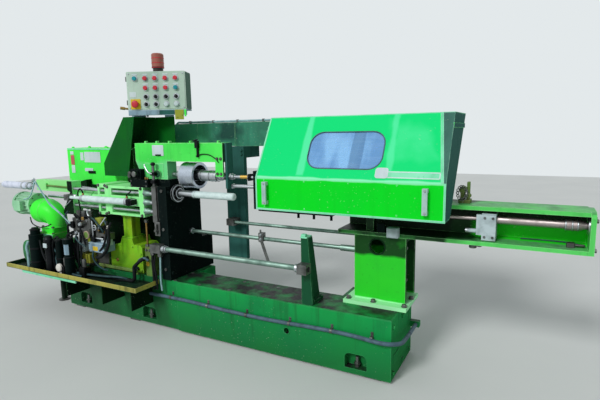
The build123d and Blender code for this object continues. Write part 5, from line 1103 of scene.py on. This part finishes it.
def dress_valves():
    """Solenoids, fittings, a bare gauge, a hand wheel and the tangle of hoses on the valve stand, and the junction
    box's lid and screws."""
    solenoids = [slab((-1300, -318, 762), (-1262, -300, 820), 5, "y"),
                 slab((-1205, -322, 772), (-1150, -300, 830), 5, "y"),
                 slab((-1250, -322, 640), (-1206, -300, 690), 5, "y"),
                 slab((-1040, -330, 672), (-990, -300, 712), 6, "y")]
    piece("valve_solenoids", joined(solenoids), "black")
    places = ((-1250, 725), (-1190, 735), (-1130, 812))
    coils = [rod((x, -300, z), (x, -348, z), 19) for x, z in places]
    coils.append(rod((-1020, -261, 745), (-1020, -261, 790), 16))
    piece("valve_coils", joined(coils), "worn")
    nuts = [(x, -348, z) for x, z in places]
    piece("valve_coil_nuts", stamped(hex_head(26, 12), nuts, "-y"), "bright")
    bezel = placed(turned([(0, 31), (4, 34), (12, 34), (15, 30), (13, 26)], 32), (-1079, -324, 724), "-y")
    piece("gauge_bezel", bezel, "beige")
    dial = placed(turned([(0, 26), (1.2, 26)], 32), (-1079, -337, 724), "-y")
    piece("gauge_bare_dial", dial, "brown")
    fitting = [rod((-822, -322, 770), (-822, -322, 806), 14, 14), rod((-822, -322, 806), (-822, -322, 822), 9, 12)]
    piece("valve_white_fitting", joined(fitting), "white_cap")
    wheel = [placed(plain_ring(0, 9, 17, 25, 28), (-985, -318, 792), "-y"),
             rod((-985, -318, 792), (-985, -290, 792), 8), slab((-1008, -324, 788), (-962, -319, 796), 2, "y")]
    piece("valve_hand_wheel", joined(wheel), "bright")
    piece("valve_gauge_stem", slab((-1004, -300, 745), (-966, -262, 830), 6), "worn")
    bolts = [(x, -300, z) for x in (-1280, -1224, -1160, -1100) for z in (712, 838)]
    piece("manifold_bolts", stamped(socket_head(7, 7), bolts, "-y"), "bright")
    dark = hoses(
        (7, (-1245, -290, 850), (-1246, -310, 880), (-1215, -322, 890), (-1180, -318, 860), (-1170, -306, 830)),
        (7, (-1120, -290, 850), (-1110, -316, 874), (-1060, -322, 880), (-1010, -318, 850), (-985, -300, 800)),
        (9, (-1290, -310, 800), (-1330, -318, 780), (-1340, -312, 700), (-1310, -300, 620), (-1296, -250, 560)),
        (12, (-806, -300, 842), (-790, -344, 790), (-790, -344, 700), (-826, -344, 628), (-900, -344, 560),
         (-980, -330, 540)),
        (9, (-850, -300, 850), (-826, -330, 800), (-836, -338, 720), (-870, -340, 650), (-930, -330, 600)),
        (8, (-1130, -345, 800), (-1124, -352, 770), (-1090, -352, 690), (-1080, -345, 640)),
        (10, (-1250, -345, 712), (-1252, -352, 670), (-1240, -345, 600), (-1246, -330, 520), (-1250, -300, 425)),
        (9, (-1215, -335, 700), (-1212, -346, 640), (-1206, -340, 540), (-1216, -320, 425)))
    piece("valve_dark_hoses", dark, "rubber")
    teal = hoses(
        (7, (-1190, -345, 722), (-1186, -356, 690), (-1130, -358, 650), (-1080, -350, 628)),
        (7, (-900, -300, 745), (-896, -320, 780), (-930, -326, 820), (-990, -318, 860), (-1060, -300, 868)),
        (9, (-870, -310, 640), (-850, -318, 660), (-840, -310, 730), (-856, -296, 800), (-900, -290, 860)),
        (8, (-880, -318, 600), (-850, -326, 590), (-838, -320, 640), (-830, -300, 720)),
        (8, (-1010, -330, 590), (-1012, -338, 540), (-980, -330, 480), (-930, -310, 440), (-900, -290, 426)),
        (8, (-1290, -300, 760), (-1352, -310, 800), (-1380, -300, 860), (-1360, -285, 900)))
    piece("valve_teal_hoses", teal, "teal_hose")
    bent = hoses(
        (6, (-960, -300, 770), (-930, -318, 800), (-900, -300, 850), (-880, -286, 880)),
        (6, (-1070, -300, 852), (-1066, -306, 880), (-1090, -300, 905), (-1105, -280, 930)),
        (5, (-1150, -350, 740), (-1140, -360, 700), (-1150, -352, 650), (-1140, -330, 620)))
    straight = [rod((-1030, -305, 690), (-1030, -305, 850), 8), rod((-1046, -312, 700), (-900, -312, 700), 7)]
    piece("valve_bright_pipes", joined([bent, *straight]), "bright")
    brass = [rod((-1290, -300, 800), (-1290, -318, 800), 11, 12),
             rod((-1060, -300, 868), (-1076, -300, 868), 10, 12),
             rod((-898, -300, 745), (-898, -300, 764), 11, 12),
             rod((-960, -300, 760), (-960, -300, 776), 9, 12),
             slab((-1160, -312, 840), (-1128, -300, 868), 4, "y")]
    piece("valve_brass_fittings", joined(brass), "brass")
    blocks = [slab((-950, -300, 640), (-870, -240, 690), 6), slab((-1240, -300, 560), (-1170, -224, 640), 8)]
    piece("valve_blocks", joined(blocks), "speckled")
    green = [slab((-997, -304, 809), (-917, -250, 870), 8), slab((-1136, -290, 640), (-1080, -224, 700), 8),
             slab((-945, -300, 690), (-900, -262, 720), 5), slab((-1230, -300, 462), (-1110, -224, 540), 10)]
    piece("valve_green_blocks", joined(green), "yellow_green")
    piece("junction_lid", slab((-1062, -333, 589), (-880, -330, 661), 6, "y"), "shelf")
    piece("junction_bare_plate", slab((-1010, -335, 598), (-950, -332.5, 634), 4, "y"), "yellow")
    corners = [(x, -333, z) for x in (-1054, -888) for z in (597, 653)]
    piece("junction_screws", stamped(socket_head(5, 3), corners, "-y"), "worn")
    plate = [(x, -222, z) for x in (-1290, -978) for z in (440, 560, 780)]
    piece("stand_bolts", stamped(hex_head(16, 9), plate, "-y"), "worn")


def dress_gearcase():
    """Bolts, caps, sight glass and front bar of the gearcase, the pillar's plates and bolts, and the pipes and hoses
    beside them."""
    bolts = [(x, -200, z) for x in (-940, -600) for z in (440, 510, 580)] + [(-850, -200, 632), (-690, -200, 632)]
    piece("gearcase_bolts", stamped(hex_head(15, 9), bolts, "-y"), "gearcase")
    filler = placed(turned([(0, 26), (8, 26), (12, 20), (20, 18), (23, 10)], 24), (-752, -150, 696))
    drain = placed(turned([(0, 14), (8, 14), (10, 8)], 20), (-640, -200, 452), "-y")
    piece("gearcase_caps", joined([filler, drain]), "black")
    glass = placed(turned([(0, 16), (5, 16), (7, 12), (4, 10)], 24), (-880, -200, 500), "-y")
    piece("gearcase_sight_glass", glass, "brass")
    flanges = [slab((-812, -192, 880), (-695, -78, 901), 5), slab((-815, -194, 696), (-692, -76, 708), 5)]
    piece("neck_flanges", joined(flanges), "gearcase")
    bar = [slab((-1052, -258, 436), (-600, -240, 462), 4, "x")]
    bar += [slab((x, -242, 415), (x + 26, -229, 436), 2, "x") for x in (-1040, -630)]
    piece("gearcase_front_bar", joined(bar), "brown")
    piece("pillar_front_plate", slab((-514, -231, 420), (-452, -226, 648), 4, "y"), "brown")
    piece("pillar_oil_spot", slab((-508, -236, 500), (-476, -230, 536), 8, "y"), "yellow")
    heads = [(-500, -231, 632), (-466, -231, 632), (-484, -231, 560)]
    piece("pillar_cap_bolts", stamped(hex_head(18, 10), heads, "-y"), "worn")
    piece("brass_feed_rod", rod((-514, -200, 656), (-514, -200, 862), 8), "brass")
    ends = [slab((-530, -214, 652), (-498, -186, 672), 5), slab((-528, -212, 850), (-500, -188, 876), 5)]
    piece("brass_feed_rod_ends", joined(ends), "worn")
    drops = hoses((11, (-398, -262, 628), (-400, -268, 560), (-396, -268, 430), (-404, -264, 330)),
                  (8, (-372, -264, 600), (-376, -276, 540), (-366, -272, 440), (-372, -262, 332)))
    piece("platen_drop_hoses", drops, "rubber")
    pale = tube([(-320, -262, 620), (-318, -268, 540), (-326, -266, 420), (-322, -262, 330)], 7)
    piece("platen_pale_pipe", pale, "pale_hose")
    elbows = [slab((-416, -276, 610), (-384, -241, 640), 6), slab((-338, -276, 604), (-304, -241, 636), 6)]
    piece("hose_elbows", joined(elbows), "worn")
    holder = [slab((-372, -252, 766), (-318, -240, 876), 5, "y"), rod((-346, -262, 780), (-346, -262, 860), 9),
              rod((-346, -276, 812), (-346, -240, 812), 12)]
    piece("platen_side_bracket", joined(holder), "worn")


def dress_bed_and_rods():
    """Levelling screws, hose clips, covers, plugs and bolts of the bed, collars and caps of the guide rods, and the
    gusset post's cap and bolts."""
    screw = turned([(0, 16), (10, 16), (12, 11), (70, 11)], 20)
    feet = (-1295, -515, 1290)
    piece("levelling_screws", stamped(screw, [(x, -205, 52) for x in feet]), "worn")
    piece("levelling_nuts", stamped(hex_head(34, 14), [(x, -205, 74) for x in feet]), "worn")
    clips = []
    for x, z in ((-600, 284), (-240, 285), (120, 277), (470, 268), (820, 273), (1130, 282), (1400, 283)):
        y = BED_RECESS if x < -193 else BED_FRONT
        clips.append(placed(ring_shape([(-9, 16), (9, 16), (9, 13.5), (-9, 13.5)], 24), (x, -255, z), "x"))
        clips.append(slab((x - 9, y - 3, z + 10), (x + 9, y, z + 40), 3, "y"))
        clips.append(placed(socket_head(5, 4), (x, y - 3, z + 31), "-y"))
    piece("hose_clips", joined(clips), "worn")
    piece("drain_ring", placed(plain_ring(-2, 3, 21, 28, 32), (790, BED_FRONT, 210), "-y"), "bed")
    bosses = [(x, y, BED_TOP) for x in (-220, 20, 300, 600) for y in (-220, -20)]
    piece("bed_top_plugs", stamped(turned([(-1, 13), (2, 13), (3, 11), (1, 6)], 20), bosses), "worn")
    piece("bed_end_plate", slab((1520, -190, 110), (1524, 190, 170), 6, "x"), "bed")
    end = [(1520, y, z) for y in (-200, 0, 160) for z in (60, 360)]
    piece("bed_end_bolts", stamped(hex_head(26, 13), end, "x"), "bed")
    left = [(-1520, y, z) for y in (-180, 0, 180) for z in (70, 320)]
    piece("bed_left_bolts", stamped(hex_head(26, 13), left, "-x"), "bed")
    covers = (-1380, -880, 710)
    back = [slab((x, BED_BACK, 110), (x + 420, BED_BACK + 4, 330), 14, "y") for x in covers]
    piece("bed_back_covers", joined(back), "bed")
    heads = [(x + dx, BED_BACK + 4, z) for x in covers for dx in (22, 398) for z in (132, 308)]
    piece("bed_back_screws", stamped(hex_head(16, 9), heads, "y"), "worn")
    collars = rings_on(FRONT_ROD_LINE, [(-288, 26, 17, 29), (-258, 14, 17, 25), (882, 22, 17, 29)], 32)
    collars += rings_on((20, 764), [(-245, 22, 13, 24)], 32)
    piece("guide_rod_collars", joined(collars), "bright")
    cap = turned([(0, 21), (6, 21), (9, 14)], 24)
    caps = [placed(cap, (925, *FRONT_ROD_LINE), "x"), placed(cap, (-395, *FRONT_ROD_LINE), "-x")]
    piece("front_rod_caps", joined(caps), "bright")
    foot = [(x, y, 435) for x in (918, 972) for y in (-196, -80)]
    piece("gusset_bolts", stamped(hex_head(20, 12), foot), "gusset")
    top = [slab((903, -236, 866), (952, -156, 876), 4), slab((908, -234, 876), (940, -200, 892), 4)]
    piece("gusset_cap", joined(top), "pale_green")
    lever = [slab((426, -4, 740), (468, 2, 812), 6, "y"), rod((446, -2, 812), (446, -2, 836), 7)]
    piece("lever_clamp_plate", joined(lever), "worn")
    heads = [(447, -4, z) for z in (764, 796)]
    piece("lever_bolts", stamped(hex_head(16, 10), heads, "-y"), "bright")
    tray = [slab((x, 60, 236), (x + 6, 232, 246), 1.5, "y") for x in range(200, 1080, 44)]
    piece("trough_grid", joined(tray), "worn")


def dress_column_and_beam():
    """Foot bolts, conduits and cover of the column, the beam's boxes, bolts, bearing, cable and chain bracket, the
    feed block's cap and screws, and the bolts of the tail plate."""
    foot = [(x, -48, 440) for x in (1168, 1340, 1545)] + [(1550, 110, 440), (1165, 200, 440)]
    piece("column_foot_bolts", stamped(hex_head(30, 18), foot), "worn")
    # The ring round the hole takes the dark smoked green as painted shade under the beam
    hole = placed(plain_ring(-1, 3, 49, 57), (1350, -10, 805), "-y")
    piece("column_hole_ring", hole, "upright")
    conduits = [rod((1420 + 34 * i, 150, 470), (1420 + 34 * i, 150, 846), 11) for i in range(3)]
    piece("column_conduits", joined(conduits), "rubber")
    clamps = [slab((1400, 132, z), (1508, 168, z + 18), 5, "y") for z in (540, 760)]
    piece("column_conduit_clamps", joined(clamps), "worn")
    piece("beam_grey_box", joined([slab((1424, -52, 880), (1498, -12, 944), 5, "y"),
                                   slab((1428, -56, 884), (1494, -52, 940), 5, "y")]), "speckled")
    piece("beam_dark_cover", slab((1352, -26, 904), (1404, -11, 962), 4, "y"), "dark")
    end = [(2537, y, z) for y in (20, 105, 190) for z in (900, 1060)]
    piece("beam_end_bolts", stamped(hex_head(22, 12), end, "x"), "worn")
    bearing = turned([(0, 48), (6, 48), (9, 42), (9, 26), (3, 22)], 36)
    piece("beam_end_bearing", placed(bearing, (2512, *FEED_LINE), "-x"), "bright")
    rings = rings_on(FEED_LINE, [(x, 8, 22, 33.5) for x in (2396, 2428, 2454)], 36)
    piece("coupling_rings", joined(rings), "bright")
    block = [(x, 10, z) for x in (1992, 2036) for z in (925, 1038)]
    piece("feed_block_screws", stamped(socket_head(7, 6), block, "-y"), "worn", "feed")
    piece("feed_block_cap", slab((1974, 14, 1056), (2054, 116, 1064), 4), "speckled", "feed")
    pin = placed(turned([(-4, 9), (0, 14), (14, 14), (22, 9)], 20), (1886, 30, 955), "x")
    piece("feed_pin_head", pin, "bright", "feed")
    cable = tube([(2500, 80, 908), (2460, 120, 906), (2400, 152, 905), (2300, 162, 904), (2180, 156, 904)], 4)
    piece("beam_cable", cable, "teal_hose")
    tee = [slab((2410, 40, 899), (2450, 84, 925), 6), rod((2450, 62, 912), (2496, 62, 912), 8)]
    piece("beam_cable_tee", joined(tee), "worn")
    chain = [slab((1830, 70, 1108), (1900, 150, 1130), 6), slab((1840, 80, 1130), (1864, 140, 1206), 6),
             slab((1876, 90, 1130), (1892, 130, 1236), 4), rod((1852, 74, 1188), (1852, 146, 1188), 20),
             rod((1884, 84, 1150), (1884, 136, 1150), 15)]
    piece("chain_bracket", joined(chain), "brown")
    # The links hang on an ellipse 52 wide and 80 high
    links = [placed(plain_ring(-2, 2, 5, 10, 14), (1852 + 26 * cos(a), 70, 1170 + 40 * sin(a)), "y")
             for a in np.linspace(0, 2 * pi, 14, endpoint=False)]
    piece("chain_links", joined(links), "worn")
    bosses = [rod((1930, 30, 876), (1930, 30, 850), 22), rod((1965, 40, 876), (1965, 40, 858), 14)]
    piece("beam_under_boss", joined(bosses), "worn")
    plate = [(x, 220, z) for x in (1600, 1850, 2100, 2350) for z in (900, 1082)]
    piece("beam_back_bolts", stamped(hex_head(20, 12), plate, "y"), "worn")
    piece("column_back_cover", slab((1240, 240, 500), (1500, 244, 820), 12, "y"), "column")
    heads = [(x, 244, z) for x in (1262, 1478) for z in (522, 660, 798)]
    piece("column_back_screws", stamped(hex_head(16, 9), heads, "y"), "worn")
    tail = [(x, y, 1022) for x in (620, 760, 900, 1040) for y in (-90, 70)]
    piece("tail_plate_bolts", stamped(hex_head(22, 13), tail), "worn")
    studs = [(x, -40, 1000) for x in (790, 910, 1040)]
    piece("tail_stud_nuts", stamped(hex_head(22, 14), studs, "-z"), "worn")


def dress_rear():
    """The conduit, panels, seams and rivets of the rear cover, and the louvres, covers and bolts behind the head."""
    conduit = tube([(-735, 440, 1500), (-730, 432, 1600), (-700, 430, 1650), (-600, 430, 1651), (0, 430, 1651),
                    (520, 430, 1651), (560, 440, 1644)], 9, 60)
    piece("cover_conduit", conduit, "pale_hose")
    clips = [slab((x, 416, 1640), (x + 14, 446, 1664), 4) for x in (-560, -300, -40, 220, 480)]
    piece("conduit_clips", joined(clips), "worn")
    lefts = (-700, -190, 320, 830, 1290)
    panels = [slab((x, 482, 1462), (x + 470, 485, 1618), 10, "y") for x in lefts]
    piece("cover_back_panels", joined(panels), "cover")
    heads = [(x + dx, 485, z) for x in lefts for dx in (16, 454) for z in (1476, 1604)]
    piece("cover_back_screws", stamped(socket_head(6, 5), heads, "y"), "worn")
    front = [(x, 412, 1455) for x in (-690, -420, -150, 200, 440)]
    piece("cover_front_rivets", stamped(turned([(0, 8), (3, 7), (4, 3)], 12), front, "-y"), "cover")
    seams = [slab((x, 409.5, 1442), (x + 14, 412, 1638), 1, "z") for x in (-470, -60, 350)]
    piece("cover_front_seams", joined(seams), "cover")
    louvres = [slab((-1700 + 90 * i, 300, 1180), (-1640 + 90 * i, 306, 1380), 6, "y") for i in range(8)]
    piece("housing_back_louvres", joined(louvres), "housing")
    piece("upright_back_cover", slab((-1420, 240, 500), (-520, 244, 1020), 16, "y"), "upright")
    heads = [(x, 244, z) for x in (-1396, -970, -544) for z in (524, 760, 996)]
    piece("upright_back_screws", stamped(hex_head(18, 10), heads, "y"), "worn")
    bolts = [(x, y, 1432) for x in (-1740, -1500, -1260, -960) for y in (90, 270)]
    piece("housing_top_bolts", stamped(hex_head(22, 13), bolts), "housing")
    feet = [(x, 250, z) for x in (-20, 120) for z in (1380, 1410)]
    piece("post_foot_bolts", stamped(hex_head(20, 12), feet, "-y"), "post")
    ring = bolt_circle(-2330, (105, 1054), 34, 6)
    piece("slideway_end_bolts", stamped(socket_head(6, 6), ring, "-x"), "worn")


add_camera()
add_studio()
for name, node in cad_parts.items():
    node.data.materials.clear()
    node.data.materials.append(FINISHES[NODE_FINISHES[name]])
dress_control_station()
dress_hood()
dress_head()
dress_pilot_and_arm()
dress_spindle_and_ram()
dress_pump_set()
dress_tray()
dress_valves()
dress_gearcase()
dress_bed_and_rods()
dress_column_and_beam()
dress_rear()
bpy.context.scene.view_settings.view_transform = "Standard"
